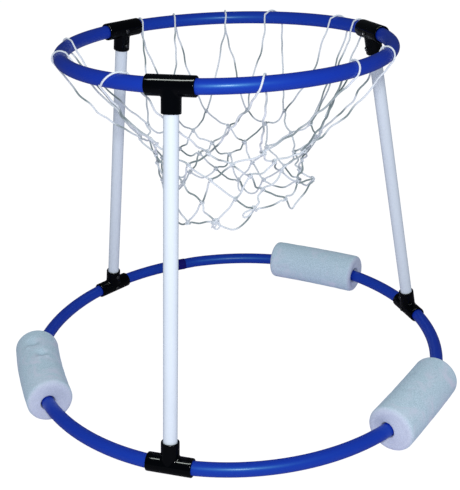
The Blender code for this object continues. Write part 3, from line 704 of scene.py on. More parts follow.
def tee_mesh():
    """One tee: run along X, branch along Z."""
    skin = Skin()
    skin.add(run_rows(), closed=True)
    skin.add(branch_rows(), closed=True)
    return skin.mesh("tee", sharp=50.0)


shared_tee = tee_mesh()
print("tee faces:", len(shared_tee.polygons))

# %% Tees in place


def frame_matrix(origin, x_axis, z_axis):
    """Placement with the given X and Z directions, which are square to each other."""
    columns = Matrix((x_axis, z_axis.cross(x_axis), z_axis)).transposed()
    return Matrix.Translation(origin) @ columns.to_4x4()


def tee_placements():
    """Each leg's two tees, with the branches facing each other."""
    places = {}
    for name, azimuth in LEG_AZIMUTHS.items():
        low = polar(chord_radius(BASE_RADIUS, TEE_SPAN), azimuth)
        high = polar(chord_radius(RIM_RADIUS, TEE_SPAN), azimuth, RIM_RISE)
        leg_up = (high - low).normalized()
        places["base", name] = HOOP @ frame_matrix(low, tangent(azimuth), leg_up)
        places["rim", name] = HOOP @ frame_matrix(high, -tangent(azimuth), -leg_up)
    return places


TEES = tee_placements()
lit_by_strip = bpy.data.collections.new("lit_by_strip")
for (level, leg), place in TEES.items():
    node = level + "_tee_" + leg
    moulding = add_piece(node + "_moulding", shared_tee, place, tee_black, [node])
    lit_by_strip.objects.link(moulding)
strip.light_linking.receiver_collection = lit_by_strip
print("tees:", len(TEES))

# %% [markdown]
# ## Legs
# Each leg is a cut length of white pipe that stands on the base pipe inside its tee. The cut ends
# are hidden, so a plain wall with clean ends is enough.

# %% Leg pipes
LEG_WALL = 0.002
LEG_SIDES = 48
LEG_ROWS = 30


def add_leg(name):
    """Show one leg between its two tees."""
    low, high = TEES["base", name], TEES["rim", name]
    span = (high.translation - low.translation).length
    half = span / 2 - PIPE_R - FIT_GAP
    levels = np.linspace(-half, half, LEG_ROWS)
    outside = [(LEG_OD / 2, level) for level in levels]
    bore = [(LEG_OD / 2 - LEG_WALL, level) for level in levels[::-1]]
    skin = Skin()
    skin.add(turned_rows(outside + bore, LEG_SIDES), closed=True)
    middle = low @ Matrix.Translation(UP * (span / 2))
    return add_piece("leg_" + name + "_pipe", skin.mesh("leg"), middle, leg_white, ["leg_" + name])


for leg in LEG_AZIMUTHS:
    add_leg(leg)
print("legs:", len(LEG_AZIMUTHS))

# %% [markdown]
# ## Screws
# Two pan-head screws hold each tee, on the side that faces into the hoop. The head is turned, and
# its cross recess is cut with two tapered bars, because a recess is what tells the eye that a grey
# dot is a screw. The steel is bright, but pool water has dulled it in patches.

# %% Screw steel
STEEL_BRIGHT = (0.12, 0.125, 0.13)
STEEL_DULL = (0.05, 0.05, 0.045)


def make_screw_steel():
    """Bright steel, dulled in patches."""
    material, tree, shader = start_finish("screw_steel", Metallic=0.9)
    film = add_group(tree, pool_haze, Scale=220.0, Amount=0.8)
    tree.links.new(mix_colour(tree, film, STEEL_BRIGHT, STEEL_DULL), shader.inputs["Base Color"])
    add_roughness(tree, shader, film, 0.28, 0.6)
    add_bump(tree, shader, add_group(tree, fine_grain, Scale=2500.0), 0.00002, 0.5)
    return material


screw_steel = make_screw_steel()
print("steel:", screw_steel.name)

# %% Screw blank
SCREW_HEAD_OD = 0.0066
SCREW_HEAD_HEIGHT = 0.0022
SCREW_OD = 0.0035
SCREW_LENGTH = 0.0085
SCREW_SIDES = 40
TIP_SHARE = 0.4
SEAT_SHARE, SEAT_EDGE = 0.97, 0.0002
CROWN_EDGE = 0.35
CROWN_TURNS = range(90, 0, -10)


def screw_blank():
    """Turned screw about Z, with the seat of its head at the origin."""
    head, shank = SCREW_HEAD_OD / 2, SCREW_OD / 2
    profile = [(shank * TIP_SHARE, -SCREW_LENGTH), (shank, shank - SCREW_LENGTH), (shank, 0.0)]
    profile += [(head * SEAT_SHARE, 0.0), (head, SEAT_EDGE)]
    for turn in CROWN_TURNS:
        crown = CROWN_EDGE + (1.0 - CROWN_EDGE) * math.cos(math.radians(turn))
        profile.append((head * math.sin(math.radians(turn)), SCREW_HEAD_HEIGHT * crown))
    skin = Skin()
    skin.add(turned_rows(profile, SCREW_SIDES), caps=True)
    return skin.mesh("screw", sharp=50.0)


turned_screw = screw_blank()
print("turned screw faces:", len(turned_screw.polygons))

# %% Cross recess
RECESS_LENGTH = 0.0036
RECESS_WIDTH = 0.0008
RECESS_DEPTH = 0.0012
RECESS_TAPER = 0.55
RECESS_CLEAR = 0.0005
RECESS_TURNS = (20.0, 110.0)


def recess_bar(turn):
    """Tapered bar that cuts half of the cross."""
    shape = bmesh.new()
    bmesh.ops.create_cube(shape, size=1.0)
    for corner in shape.verts:
        taper = 1.0 if corner.co.z > 0 else RECESS_TAPER
        corner.co.x *= RECESS_LENGTH * taper
        corner.co.y *= RECESS_WIDTH
        corner.co.z = SCREW_HEAD_HEIGHT + (RECESS_CLEAR if corner.co.z > 0 else -RECESS_DEPTH)
    mesh = bpy.data.meshes.new("recess")
    shape.to_mesh(mesh)
    shape.free()
    bar = show("recess", mesh)
    bar.rotation_euler[2] = math.radians(turn)
    return bar


def evaluated_mesh(source):
    """Mesh of an object with its modifiers worked out; the object is removed."""
    bpy.context.view_layer.update()
    shown = source.evaluated_get(bpy.context.evaluated_depsgraph_get())
    mesh = bpy.data.meshes.new_from_object(shown)
    bpy.data.objects.remove(source)
    return mesh


def screw_mesh():
    """Cut the cross recess into the blank."""
    blank = show("screw_blank", turned_screw)
    bars = [recess_bar(turn) for turn in RECESS_TURNS]
    for bar in bars:
        cut = blank.modifiers.new("Recess", "BOOLEAN")
        cut.operation = "DIFFERENCE"
        cut.solver = "EXACT"
        cut.object = bar
    mesh = evaluated_mesh(blank)
    for bar in bars:
        bpy.data.objects.remove(bar)
    mesh.shade_smooth()
    mesh.set_sharp_from_angle(angle=math.radians(30.0))
    return mesh


shared_screw = screw_mesh()
print("screw faces:", len(shared_screw.polygons))

# %% Screws in place
BRANCH_SCREW_AT = 0.024
facing_in = Matrix.Rotation(math.radians(-90.0), 4, "X")
for (level, leg), place in TEES.items():
    for site, along, surface in (("run", 0.0, TEE_OD / 2), ("branch", BRANCH_SCREW_AT, BRANCH_OD / 2)):
        node = "screw_" + level + "_" + leg + "_" + site
        seat = Matrix.Translation((0.0, surface + FIT_GAP, along))
        add_piece(node + "_cross_head", shared_screw, place @ seat @ facing_in, screw_steel, [node])
print("screws:", 2 * len(TEES))

# %% [markdown]
# ## Ring joints
# The base ring closes on an insert whose collar shows at the back left. Its dark navy is painted
# shadow, the tone of the blue pipe in the front leg's shadow. Its barbs are inside the pipe. The rim
# ring closes inside the front tee, where nothing shows, so its insert keeps the imported shape and
# only takes the black finish.

# %% Coupler and joiner
# The imported pipe is bored with flat sides, and an insert has to clear their middles.
PACKED_SIDES = 12
PIPE_BORE_R = PIPE_R * math.cos(math.pi / PACKED_SIDES) - PIPE_WALL
INSERT_R = PIPE_BORE_R - FIT_GAP
INSERT_WALL = 0.0022
BARBS = 3
BARB_DEPTH = 0.0008
BARB_FOOT, BARB_CREST = 0.25, 0.35
COLLAR_SIDE = 0.4


def add_coupler():
    """Show the collar of the base ring's insert and its barbed ends."""
    half = COLLAR_LENGTH / 2
    pitch = SPIGOT_LENGTH / BARBS
    low = INSERT_R - BARB_DEPTH
    upper = [(COLLAR_OD / 2, half * COLLAR_SIDE)] + rounded_end(COLLAR_OD / 2, half, BARB_DEPTH)
    for barb in range(BARBS):
        foot = half + barb * pitch
        upper += [(low, foot), (low, foot + pitch * BARB_FOOT), (INSERT_R, foot + pitch * BARB_CREST)]
    tip = half + SPIGOT_LENGTH
    upper += [(low, tip), (low - INSERT_WALL, tip)]
    rows = turned_rows(upper + mirrored(upper), seam=SEAM_HEIGHT)[:, :, [2, 1, 0]]
    skin = Skin()
    skin.add(rows, closed=True)
    middle = polar(chord_radius(BASE_RADIUS, COUPLER_SPAN), COUPLER_AZIMUTH)
    place = HOOP @ frame_matrix(middle, tangent(COUPLER_AZIMUTH), UP)
    mesh = skin.mesh("coupler")
    # The collar's navy finish is painted shadow.
    return add_piece("base_ring_coupler_insert", mesh, place, coupler_painted_shadow_navy, ["base_ring_coupler"])


add_coupler()
joiner = frame["nodes"]["rim_ring_joiner"]
joiner.data.materials.clear()
joiner.data.materials.append(tee_black)
print("ring joints dressed")

# %% [markdown]
# ## Foam
# The floats are closed-cell foam tube, cut to length. The skin of the tube is a dull blue-grey
# white with tiny cells, and the sawn ends are smoother and a touch more lilac. The foam finish
# mixes the two by how squarely the surface faces along the tube, which the mesh stores itself.

# %% Foam finish
SKIN_DARK, SKIN_PALE = (0.43, 0.58, 0.68), (0.64, 0.79, 0.91)
SKIN_BLOTCH = (0.67, 0.71, 0.85)
SAWN_DARK, SAWN_PALE = (0.51, 0.57, 0.72), (0.63, 0.69, 0.84)


def make_foam():
    """Foam with cells in colour and bump; the cut ends are smoother and more lilac."""
    material, tree, shader = start_finish("float_foam", Specular_IOR_Level=0.25)
    cells = add_node(tree, "ShaderNodeTexVoronoi", Vector=place_coordinates(tree), Scale=620.0)
    speckle = add_group(tree, fine_grain, Scale=640.0, Detail=4.0)
    blotch = add_group(tree, pool_haze, Scale=26.0, Amount=1.0)
    ends = add_node(tree, "ShaderNodeAttribute", attribute_name="cut_end")
    spread = add_node(tree, "ShaderNodeMapRange", Value=speckle, From_Min=0.36, From_Max=0.64)
    tone = spread.outputs["Result"]
    skin_tone = mix_colour(tree, blotch, mix_colour(tree, tone, SKIN_DARK, SKIN_PALE), SKIN_BLOTCH)
    sawn_tone = mix_colour(tree, tone, SAWN_DARK, SAWN_PALE)
    tree.links.new(mix_colour(tree, ends.outputs["Fac"], skin_tone, sawn_tone), shader.inputs["Base Color"])
    add_roughness(tree, shader, speckle, 0.80, 0.95)
    add_bump(tree, shader, combine(tree, "ADD", cells.outputs["Distance"], speckle), 0.0004, 0.55)
    return material


float_foam = make_foam()
print("foam:", float_foam.name)

# %% [markdown]
# ## Floats
# A float is a tube of foam that is stiffer than the ring is round, so it takes a gentler bend
# than the pipe and rides low on it. The pipe presses its own bend into the bore, while the outside
# stays almost straight and can sit a few degrees askew. So each point is bent twice, as bore and
# as skin, and lands between the two by how deep it lies. Two of the bores hug the pipe. The back
# float keeps a wide one, because it has to pass the coupler. The skin is a fine grid of rings.
# Smooth noise gives it the slight lumps of real foam, and a few dents are pressed in where hands
# and storage left them.

# %% Float measures
FLOAT_LENGTH = 0.170
FLOAT_OD = 0.070
FLOAT_BORE = 0.0275
FLOAT_EDGE = 0.0075
FLOAT_LIP = 0.0012
FLOAT_STEP = 0.0018
LIP_ROUND = 0.3
EDGE_STEPS, FACE_STEPS, TUNNEL_STEPS = 7, 9, 12
SEAT_LIFT, SEAT_MIDDLE, SEAT_ENDS = 0.4, 0.85, 0.9


def float_seat():
    """The sleeve's offset towards the hoop axis, its lift and its bend radius."""
    pipe_play = FLOAT_BORE / 2 - PIPE_R - FIT_GAP
    collar_play = FLOAT_BORE / 2 - COLLAR_OD / 2 - FIT_GAP
    lift = SEAT_LIFT * collar_play
    dip = BASE_RADIUS - chord_radius(BASE_RADIUS, COUPLER_SPAN)
    middle = SEAT_MIDDLE * math.sqrt(pipe_play ** 2 - lift ** 2)
    ends = SEAT_ENDS * math.sqrt(collar_play ** 2 - lift ** 2) - dip
    half = FLOAT_LENGTH / 2
    bow = BASE_RADIUS - chord_radius(BASE_RADIUS, half) - middle - ends
    return middle, lift, (half * half + bow * bow) / (2.0 * bow)


def float_profile():
    """Closed (radius, along) profile of a sleeve's wall, with rounded outer and inner edges."""
    outer, bore, half = FLOAT_OD / 2, FLOAT_BORE / 2, FLOAT_LENGTH / 2
    flank = half - FLOAT_EDGE
    side = [(outer, x) for x in np.linspace(-flank, flank, round(2 * flank / FLOAT_STEP))]
    edge = rounded_end(outer, half, FLOAT_EDGE, EDGE_STEPS)[1:]
    across = np.linspace(outer - FLOAT_EDGE, bore + FLOAT_LIP, FACE_STEPS)[1:]
    face = [(radius, half) for radius in across]
    mouth = [(bore + FLOAT_LIP * LIP_ROUND, half - FLOAT_LIP * LIP_ROUND), (bore, half - FLOAT_LIP)]
    tunnel = [(bore, x) for x in np.linspace(half - FLOAT_LIP, 0.0, TUNNEL_STEPS)[1:]]
    upper = edge + face + mouth + tunnel
    return side + upper + mirrored(upper)[1:]


print("floats bend round", round(float_seat()[2], 4), "m and take", len(float_profile()), "rings")

# %% Float skin
REST_FLAT = 0.0005
SNUG_BORE = 0.0226
SKIN_DEPTH = 0.012
LUMP_HEIGHT = 0.0005
LUMP_SWING = 0.6
LUMP_ACROSS, LUMP_ALONG, LUMP_SHIFT = 70, 55, 9.1
PIT_ACROSS, PIT_ALONG, PIT_SHIFT = 190, 170, 3.7
PIT_SHARE = 0.5
SAWN_START, SAWN_FADE = 1.2, 0.6


def bent_round(shape, level, bend, middle, yaw=0.0):
    """Bend points along Z to an arc of the given radius round X middle, turned by yaw degrees."""
    reach = bend + shape[:, 0]
    angle = shape[:, 2] / bend
    aside = reach * np.cos(angle) - bend
    along = reach * np.sin(angle)
    cosine, sine = math.cos(math.radians(yaw)), math.sin(math.radians(yaw))
    return np.stack([middle + aside * cosine - along * sine, aside * sine + along * cosine, level], axis=1)


def foam_lump(place, seed):
    """Smooth unevenness of the foam at a place: wide lumps and smaller pits, new for each seed."""
    x, y, z = place
    wide = Vector((x * LUMP_ACROSS + seed * LUMP_SHIFT, y * LUMP_ACROSS, z * LUMP_ALONG))
    small = Vector((x * PIT_ACROSS, y * PIT_ACROSS + seed * PIT_SHIFT, z * PIT_ALONG))
    return noise.noise(wide) + PIT_SHARE * noise.noise(small)


def foam_push(shape, seed, dents):
    """How far lumps and dents push each point of a sleeve outwards."""
    lumps = np.array([foam_lump(place, seed) for place in shape])
    push = -LUMP_HEIGHT + LUMP_HEIGHT * LUMP_SWING * lumps
    for angle, along, wide, deep in dents:
        out = math.radians(angle)
        spot = np.array([math.cos(out) * FLOAT_OD / 2, math.sin(out) * FLOAT_OD / 2, along])
        away = np.sqrt(((shape - spot) ** 2).sum(axis=1))
        push -= deep * np.exp(-(away / wide) ** 2)
    return push


def float_mesh(seed, dents, bend, aside, yaw, snug, cut):
    """One sleeve over +X, bent round the ring, with lumps, dents and a flat to stand on."""
    inwards, lift, bore_bend = float_seat()
    profile = float_profile()
    sides = round(math.pi * FLOAT_OD / FLOAT_STEP)
    rows = turned_rows(profile, sides)
    shape = rows.reshape(-1, 3)
    away = np.hypot(shape[:, 0], shape[:, 1])
    normal = np.stack([shape[:, 0] / away, shape[:, 1] / away], axis=1)
    skin_share = np.clip((away - FLOAT_BORE / 2) / SKIN_DEPTH, 0.0, 1.0)
    shape[:, :2] += normal * (foam_push(shape, seed, dents) * skin_share)[:, None]
    shape[:, 2] *= cut
    level = np.maximum(shape[:, 1] + lift, lift - FLOAT_OD / 2 + REST_FLAT)
    bore = bent_round(shape, level, bore_bend, BASE_RADIUS - inwards)
    if snug:
        tight = shape * [SNUG_BORE / FLOAT_BORE, SNUG_BORE / FLOAT_BORE, 1.0]
        bore = bent_round(tight, tight[:, 1], BASE_RADIUS, BASE_RADIUS)
    skin = bent_round(shape, level, bend, BASE_RADIUS - inwards - aside, yaw)
    sleeve = Skin()
    sleeve.add((bore + (skin - bore) * skin_share[:, None]).reshape(rows.shape), closed=True)
    mesh = sleeve.mesh("float", sharp=60.0)
    edge = FLOAT_LENGTH / 2 - np.abs(np.array(profile)[:, 1])
    sawn = np.clip(SAWN_START - edge / (FLOAT_EDGE * SAWN_FADE), 0.0, 1.0)
    store(mesh, "cut_end", np.repeat(sawn, sides))
    return mesh


print("foam lumps up to", LUMP_HEIGHT * 1000, "mm")

# %% Floats in place
# A lie is how the skin bends, shifts and turns on the pipe, and how the tube was cut. A dent is
# its angle round the sleeve, its place along it, its width and its depth; a bulge has one below 0.
FLOAT_AZIMUTHS = {"left": 194.0, "back": 60.0, "right": 324.0}
LIES = {
    "left": {"bend": 1.1, "aside": 0.0030, "yaw": 3.8, "snug": True, "cut": 1.0},
    "back": {"bend": 1.4, "aside": 0.0022, "yaw": 1.5, "snug": False, "cut": 1.0},
    "right": {"bend": 3.0, "aside": 0.0026, "yaw": 0.0, "snug": True, "cut": 0.968},
}
DENTS = {
    "left": [
        (78.0, -0.047, 0.010, 0.0050), (66.0, -0.033, 0.005, -0.0018), (88.0, -0.043, 0.006, 0.0024),
        (99.0, -0.009, 0.009, 0.0058), (90.0, 0.006, 0.005, -0.0014), (111.0, 0.003, 0.005, -0.0020),
    ],
    "back": [(184.0, 0.064, 0.004, 0.0014), (181.0, 0.057, 0.004, 0.0014), (179.0, 0.050, 0.004, 0.0010)],
    "right": [(120.0, 0.030, 0.007, 0.0012), (95.0, -0.020, 0.006, 0.0008)],
}
for number, (side, azimuth) in enumerate(FLOAT_AZIMUTHS.items()):
    name = "float_" + side
    place = HOOP @ Matrix.Rotation(math.radians(azimuth), 4, "Z")
    mesh = float_mesh(number, DENTS[side], **LIES[side])
    sleeve = add_piece(name + "_foam", mesh, place, float_foam, [name], name)
print("float faces:", len(mesh.polygons))

# %% [markdown]
# ## Net cord
# The net is one kind of cord: three soft strands laid up with a slow twist, just under 3 mm thick.
# The strands are real geometry, a section with three lobes that turns along the line, so the cord
# catches light the way laid cord does. The finish paints shade into the grooves between the strands,
# adds grey soil along stretches of the runs, and leaves the crests of the strands almost white.

# %% Cord finish
CREST_WHITE = (0.84, 0.90, 0.97)
# The grey that both the painted shade in the grooves and the soil of the runs mix towards.
SHADE_AND_SOIL_GREY = (0.15, 0.22, 0.22)
STAIN_GREY = (0.50, 0.57, 0.58)


def make_cord_finish():
    """Soft white cord, with painted shade in the grooves between the strands and grey soil in stretches."""
    material, tree, shader = start_finish("net_cord", Specular_IOR_Level=0.25, Sheen_Weight=0.1)
    shade_and_soil = add_node(tree, "ShaderNodeAttribute", attribute_name="shade_and_soil")
    fuzz = add_group(tree, fine_grain, Scale=1800.0, Detail=4.0)
    stain = add_group(tree, pool_haze, Scale=26.0, Amount=0.4)
    # Painted shade in the grooves between the strands, and soil along the runs, read from the mesh.
    colour = mix_colour(tree, shade_and_soil.outputs["Fac"], CREST_WHITE, SHADE_AND_SOIL_GREY)
    tree.links.new(mix_colour(tree, stain, colour, STAIN_GREY), shader.inputs["Base Color"])
    add_roughness(tree, shader, fuzz, 0.65, 0.95)
    add_bump(tree, shader, fuzz, 0.00012, 0.5)
    return material


net_cord = make_cord_finish()
print("cord:", net_cord.name)

# %% [markdown]
# ## How the net hangs
# Twelve loops hang over the rim, and five rows of twelve knots hang from them. Drawing sixty knots
# by hand would never look relaxed, so the net is let go and simulated first: every cord only
# pulls, and stiff knots hold their neighbours a little apart. A used net is never even, though.
# Loops slide askew and knots are hitched up or pulled aside, so the knots then take their strays.

# %% Net measures
CORD_OD = 0.0029
HOOK_AZIMUTHS = [28.5, 39.5, 70.0, 90.0, 111.0, 126.5, 170.0, 192.5, 233.5, 280.0, 312.5, 335.0]
HOOK_TO_TEE = 0.004
LOOP_SKEWS = [-0.003, -0.021, -0.024, 0.003, -0.006, -0.006, -0.028, -0.012, -0.034, -0.014, -0.012, -0.012]
LEG_REACHES = [0.158, 0.160, 0.160, 0.161, 0.160, 0.166, 0.172, 0.176, 0.198, 0.186, 0.175, 0.168]
BAR_REACHES = [0.046, 0.045, 0.043, 0.040]
KNOT_SPREADS = [0.062, 0.054, 0.050, 0.046, 0.044]
ROWS, COLUMNS = len(KNOT_SPREADS), len(HOOK_AZIMUTHS)


def hook_azimuths():
    """Azimuths of the middles of the net's loops, each kept clear of the mouths of the rim tees."""
    result = []
    for azimuth, skew in zip(HOOK_AZIMUTHS, LOOP_SKEWS):
        least = math.degrees((TEE_SPAN + HOOK_TO_TEE + abs(skew) / 2) / RIM_RADIUS)
        for tee in LEG_AZIMUTHS.values():
            away = (azimuth - tee + 180.0) % 360.0 - 180.0
            if abs(away) < least:
                azimuth = tee + math.copysign(least, away)
        result.append(azimuth)
    return result


hooks = hook_azimuths()
print("loops at", [round(azimuth, 1) for azimuth in hooks])

# %% Ties between the knots
REACH_SCATTER = 0.05
NET_SEED = 3
START_RADIUS, START_DROP = 0.15, 0.12
ROW_INSET, ROW_DROP = 0.012, 0.03


def first_places(hooks):
    """Rough rows of knots under the loops, before the net is let go."""
    ring = np.append(hooks, hooks[0] + 360.0)
    gaps = (ring[:-1] + ring[1:]) / 2
    return np.array([
        polar(START_RADIUS - ROW_INSET * row, azimuth, RIM_RISE - START_DROP - ROW_DROP * row)
        for row in range(ROWS) for azimuth in (gaps if row % 2 == 0 else hooks)
    ])


def net_ties():
    """Knots that a cord joins, with its reach, and neighbours in a row, with how far they keep apart."""
    scatter = np.random.default_rng(NET_SEED)
    columns = np.arange(COLUMNS)

    def vary(value):
        return value * (1 + REACH_SCATTER * scatter.uniform(-1, 1, COLUMNS))

    upper, lower, reach = [], [], []
    for row in range(1, ROWS):
        for shift in ((-1, 0) if row % 2 == 1 else (0, 1)):
            upper.append((row - 1) * COLUMNS + (columns + shift) % COLUMNS)
            lower.append(row * COLUMNS + columns)
            reach.append(vary(BAR_REACHES[row - 1]))
    left = np.arange(ROWS * COLUMNS)
    right = np.concatenate([row * COLUMNS + (columns + 1) % COLUMNS for row in range(ROWS)])
    spread = np.concatenate([vary(value) for value in KNOT_SPREADS])
    return [np.concatenate(part) for part in (upper, lower, reach)], (left, right, spread)


bars, neighbours = net_ties()
print("cords between knots:", len(bars[0]))

# %% Let the net hang
SETTLE_STEPS, PULLS_PER_STEP = 2500, 6
STEP_FALL, SPEED_KEPT = 2e-5, 0.97
SPREAD_STIFFNESS = 0.15


def excess(run, reach):
    """Share of each run by which it is longer than its reach."""
    length = np.linalg.norm(run, axis=1)
    return (np.clip(length - reach, 0, None) / length)[:, None]


def pulled(place, tops, leg_knot, leg_reach):
    """The knots after every cord has pulled and every row has pushed once."""
    upper, lower, reach = bars
    left, right, spread = neighbours
    shift = np.zeros_like(place)
    pulls = np.zeros((len(place), 1))
    run = place[lower] - place[upper]
    tight = excess(run, reach)
    np.add.at(shift, upper, run * tight / 2)
    np.add.at(shift, lower, -run * tight / 2)
    np.add.at(pulls, upper, tight > 0)
    np.add.at(pulls, lower, tight > 0)
    run = place[right] - place[left]
    length = np.linalg.norm(run, axis=1)
    close = (np.clip(spread - length, 0, None) / length * SPREAD_STIFFNESS)[:, None]
    np.add.at(shift, left, -run * close)
    np.add.at(shift, right, run * close)
    run = place[leg_knot] - tops
    tight = excess(run, leg_reach)
    np.add.at(shift, leg_knot, -run * tight)
    np.add.at(pulls, leg_knot, tight > 0)
    return place + shift / np.maximum(pulls, 1)


def hang_net(hooks):
    """Let the knots of the net hang until they come to rest."""
    columns = np.arange(COLUMNS)
    tops = np.array([polar(RIM_RADIUS, azimuth, RIM_RISE) for azimuth in hooks])
    leg_tops = tops[np.concatenate([columns, (columns + 1) % COLUMNS])]
    leg_knots = np.concatenate([columns, columns])
    leg_reach = np.array(LEG_REACHES + LEG_REACHES)
    place = first_places(hooks)
    before = place.copy()
    for _ in range(SETTLE_STEPS):
        moving = (place - before) * SPEED_KEPT
        before = place.copy()
        place = place + moving
        place[:, 2] -= STEP_FALL
        for _ in range(PULLS_PER_STEP):
            place = pulled(place, leg_tops, leg_knots, leg_reach)
    return place.reshape(ROWS, COLUMNS, 3)


knots = hang_net(hooks)
print("net hangs to", round(float(knots[..., 2].min()), 4), "above the base ring")

# %% Strays
# Knots that were hitched up, dropped or pulled aside: shifts along X and Z in millimetres
STRAYS = {
    (0, 0): (-4, -10), (0, 1): (-3, -3), (0, 3): (-6, 2), (0, 4): (-7, 2), (0, 5): (-1, -11),
    (0, 8): (-1, 7), (0, 9): (-6, 8), (0, 10): (-9, -9), (0, 11): (-11, -17),
    (1, 0): (-2, -5), (1, 1): (-8, -2), (1, 2): (-1, 9), (1, 3): (-3, 10), (1, 4): (-6, 5),
    (1, 8): (4, -6), (1, 9): (-6, 9), (1, 10): (-15, 6), (1, 11): (-9, -3),
    (2, 0): (-17, -3), (2, 1): (-22, 7), (2, 2): (-10, 14), (2, 3): (-1, 18), (2, 4): (-5, 5),
    (2, 7): (10, -10), (2, 9): (-13, 14), (2, 10): (-25, 0), (2, 11): (-15, 0),
    (3, 0): (-11, 8), (3, 1): (-17, 3), (3, 2): (-25, 14), (3, 3): (-7, 24), (3, 4): (7, 33),
    (3, 7): (2, -14), (3, 8): (9, -7), (3, 9): (4, -3), (3, 10): (-25, 7), (3, 11): (-8, 7),
    (4, 0): (-4, 20), (4, 1): (-34, 9), (4, 2): (-21, 7), (4, 3): (1, 25), (4, 4): (12, 32),
    (4, 7): (7, -23), (4, 8): (0, -10), (4, 9): (-2, -5), (4, 10): (-7, 18), (4, 11): (13, 31),
}
for (row, column), (right, rise) in STRAYS.items():
    knots[row, column] += np.array([right, 0.0, rise]) / 1000.0
print("strays:", len(STRAYS), "of", ROWS * COLUMNS, "knots")

# %% [markdown]
# ## Routes of the cords
# A cord leaves its knot between the knot's corner and the place it is bound for, and it is always
# a little longer than its span, so it sags or wanders. Each cord's route is worked out first, as a
# start, an end and the points between, and is only then given its strands.

# %% Where a cord leaves its knot
KNOT_SIZE = 0.0056
TIE_KNOT = (4, 8)
TIE_KNOT_SIZE = 0.0095
STUB_SHARE = 0.95
CORNER_PULL = 1.2
CORD_GAP = 0.0004
LOOP_POINTS = 13


def knot_size(row, column):
    """Size of a knot; the tie knot is the large one."""
    return TIE_KNOT_SIZE if (row, column) == TIE_KNOT else KNOT_SIZE


def stub(place, size, port, towards):
    """Point where a cord has settled just outside a knot, between the knot's corner and its aim."""
    out = Vector((place.x, place.y, 0.0)).normalized()
    side = UP.cross(out)
    across = side if port.endswith("right") else -side
    rise = UP if port.startswith("up") else -UP
    corner = (across + rise).normalized() * CORNER_PULL
    aim = (towards - place).normalized()
    return place + (corner + aim).normalized() * size * STUB_SHARE


def loop_over_rim(azimuth, skew, towards):
    """Points of a cord that comes up outside the rim pipe, over it and down inside it."""
    out = polar(1.0, azimuth)
    centre = polar(RIM_RADIUS, azimuth, RIM_RISE)
    wrap = PIPE_R + CORD_GAP / 2 + CORD_OD / 2
    aim = towards - centre
    distance = math.hypot(aim.dot(out), aim.z)
    heading = math.atan2(aim.z, aim.dot(out))
    open_half = math.acos(wrap / distance)
    sweep = 2 * math.pi - 2 * open_half
    points = []
    for step in range(LOOP_POINTS):
        share = step / (LOOP_POINTS - 1)
        angle = heading + open_half + sweep * share
        here = azimuth + math.degrees(skew / RIM_RADIUS) * (0.5 - share)
        turned = polar(1.0, here) * math.cos(angle) + UP * math.sin(angle)
        points.append(polar(RIM_RADIUS, here, RIM_RISE) + turned * wrap)
    return points


print("cord of", CORD_OD * 1000, "mm over a pipe of", PIPE_OD * 1000, "mm")

# %% Between two ends
LEAST_SPARE = 0.005


def wander(start, end, length, waves, lean, count):
    """Points between the ends of a cord that is longer than its span, and so sags or sways."""
    span = end - start
    along = span.normalized()
    down = (along * UP.dot(along) - UP).normalized()
    side = along.cross(down)
    spare = max(length - span.length, span.length * LEAST_SPARE)
    height = 2.0 / math.pi * math.sqrt(spare * span.length)
    sag = height * math.sqrt(1.0 - lean * lean)
    sway = height * lean / waves
    points = []
    for step in range(1, count + 1):
        turn = math.pi * step / (count + 1)
        aside = down * sag * math.sin(turn) + side * sway * math.sin(waves * turn)
        points.append(start.lerp(end, turn / math.pi) + aside)
    return points


def knot_exit(end, towards):
    """Point where a cord leaves one of its ends, a (knot, port) pair, on its way to a place."""
    knot, port = end
    return stub(Vector(knots[knot]), knot_size(*knot), port, towards)


def add_route(start, end, between):
    """Note a cord: its two ends, and its points from just outside one knot to just outside the other."""
    points = [knot_exit(start, between[0])] + between + [knot_exit(end, between[-1])]
    routes.append((start, end, points))


draw = np.random.default_rng(NET_SEED + 1)
routes = []
print("routes start from", ROWS * COLUMNS, "knots")

# %% Cords over the rim
LEG_SPARE = (0.0004, 0.0022)
LEG_POINTS = 3


def route_leg(column):
    """From the top row over the rim and back to the top row, with a slight sway on both sides."""
    start, end = ((0, (column - 1) % COLUMNS), "up_right"), ((0, column), "up_left")
    low, high = Vector(knots[start[0]]), Vector(knots[end[0]])
    loop = loop_over_rim(hooks[column], LOOP_SKEWS[column], (low + high) / 2)
    sides = []
    for one, two in ((knot_exit(start, loop[0]), loop[0]), (loop[-1], knot_exit(end, loop[-1]))):
        spare = draw.uniform(*LEG_SPARE)
        waves, lean = draw.integers(2, 4), draw.uniform(-1.0, 1.0)
        sides.append(wander(one, two, (two - one).length + spare, waves, lean, LEG_POINTS))
    add_route(start, end, sides[0] + loop + sides[1])


for column in range(COLUMNS):
    route_leg(column)
print("cords over the rim:", len(routes))

# %% Cords between the rows
SINGLE_WAVE = 0.5
BAR_POINTS = 2


def route_bar(above, port, below, end_port):
    """From a knot to one in the next row, a little longer than the way."""
    top, foot = Vector(knots[above]), Vector(knots[below])
    start, end = (above, port), (below, end_port)
    reach = BAR_REACHES[below[0] - 1] * (1 + REACH_SCATTER * draw.uniform(-1, 1))
    waves = 1 if draw.uniform() < SINGLE_WAVE else 2
    lean = draw.uniform(-1.0, 1.0)
    length = reach - 2 * KNOT_SIZE * STUB_SHARE
    way = wander(knot_exit(start, foot), knot_exit(end, top), length, waves, lean, BAR_POINTS)
    add_route(start, end, way)


for row in range(1, ROWS):
    for column in range(COLUMNS):
        first = column - row % 2
        route_bar((row - 1, first % COLUMNS), "down_right", (row, column), "up_left")
        route_bar((row - 1, (first + 1) % COLUMNS), "down_left", (row, column), "up_right")
print("cords so far:", len(routes))

# %% Hem
HEM_DROPS = [0.012, 0.026, 0.008, 0.014, 0.012, 0.016, 0.018, 0.002, 0.024, 0.004, 0.026, 0.010]
HEM_STEPS = 8
HEM_TIPS = {10: 0.22}


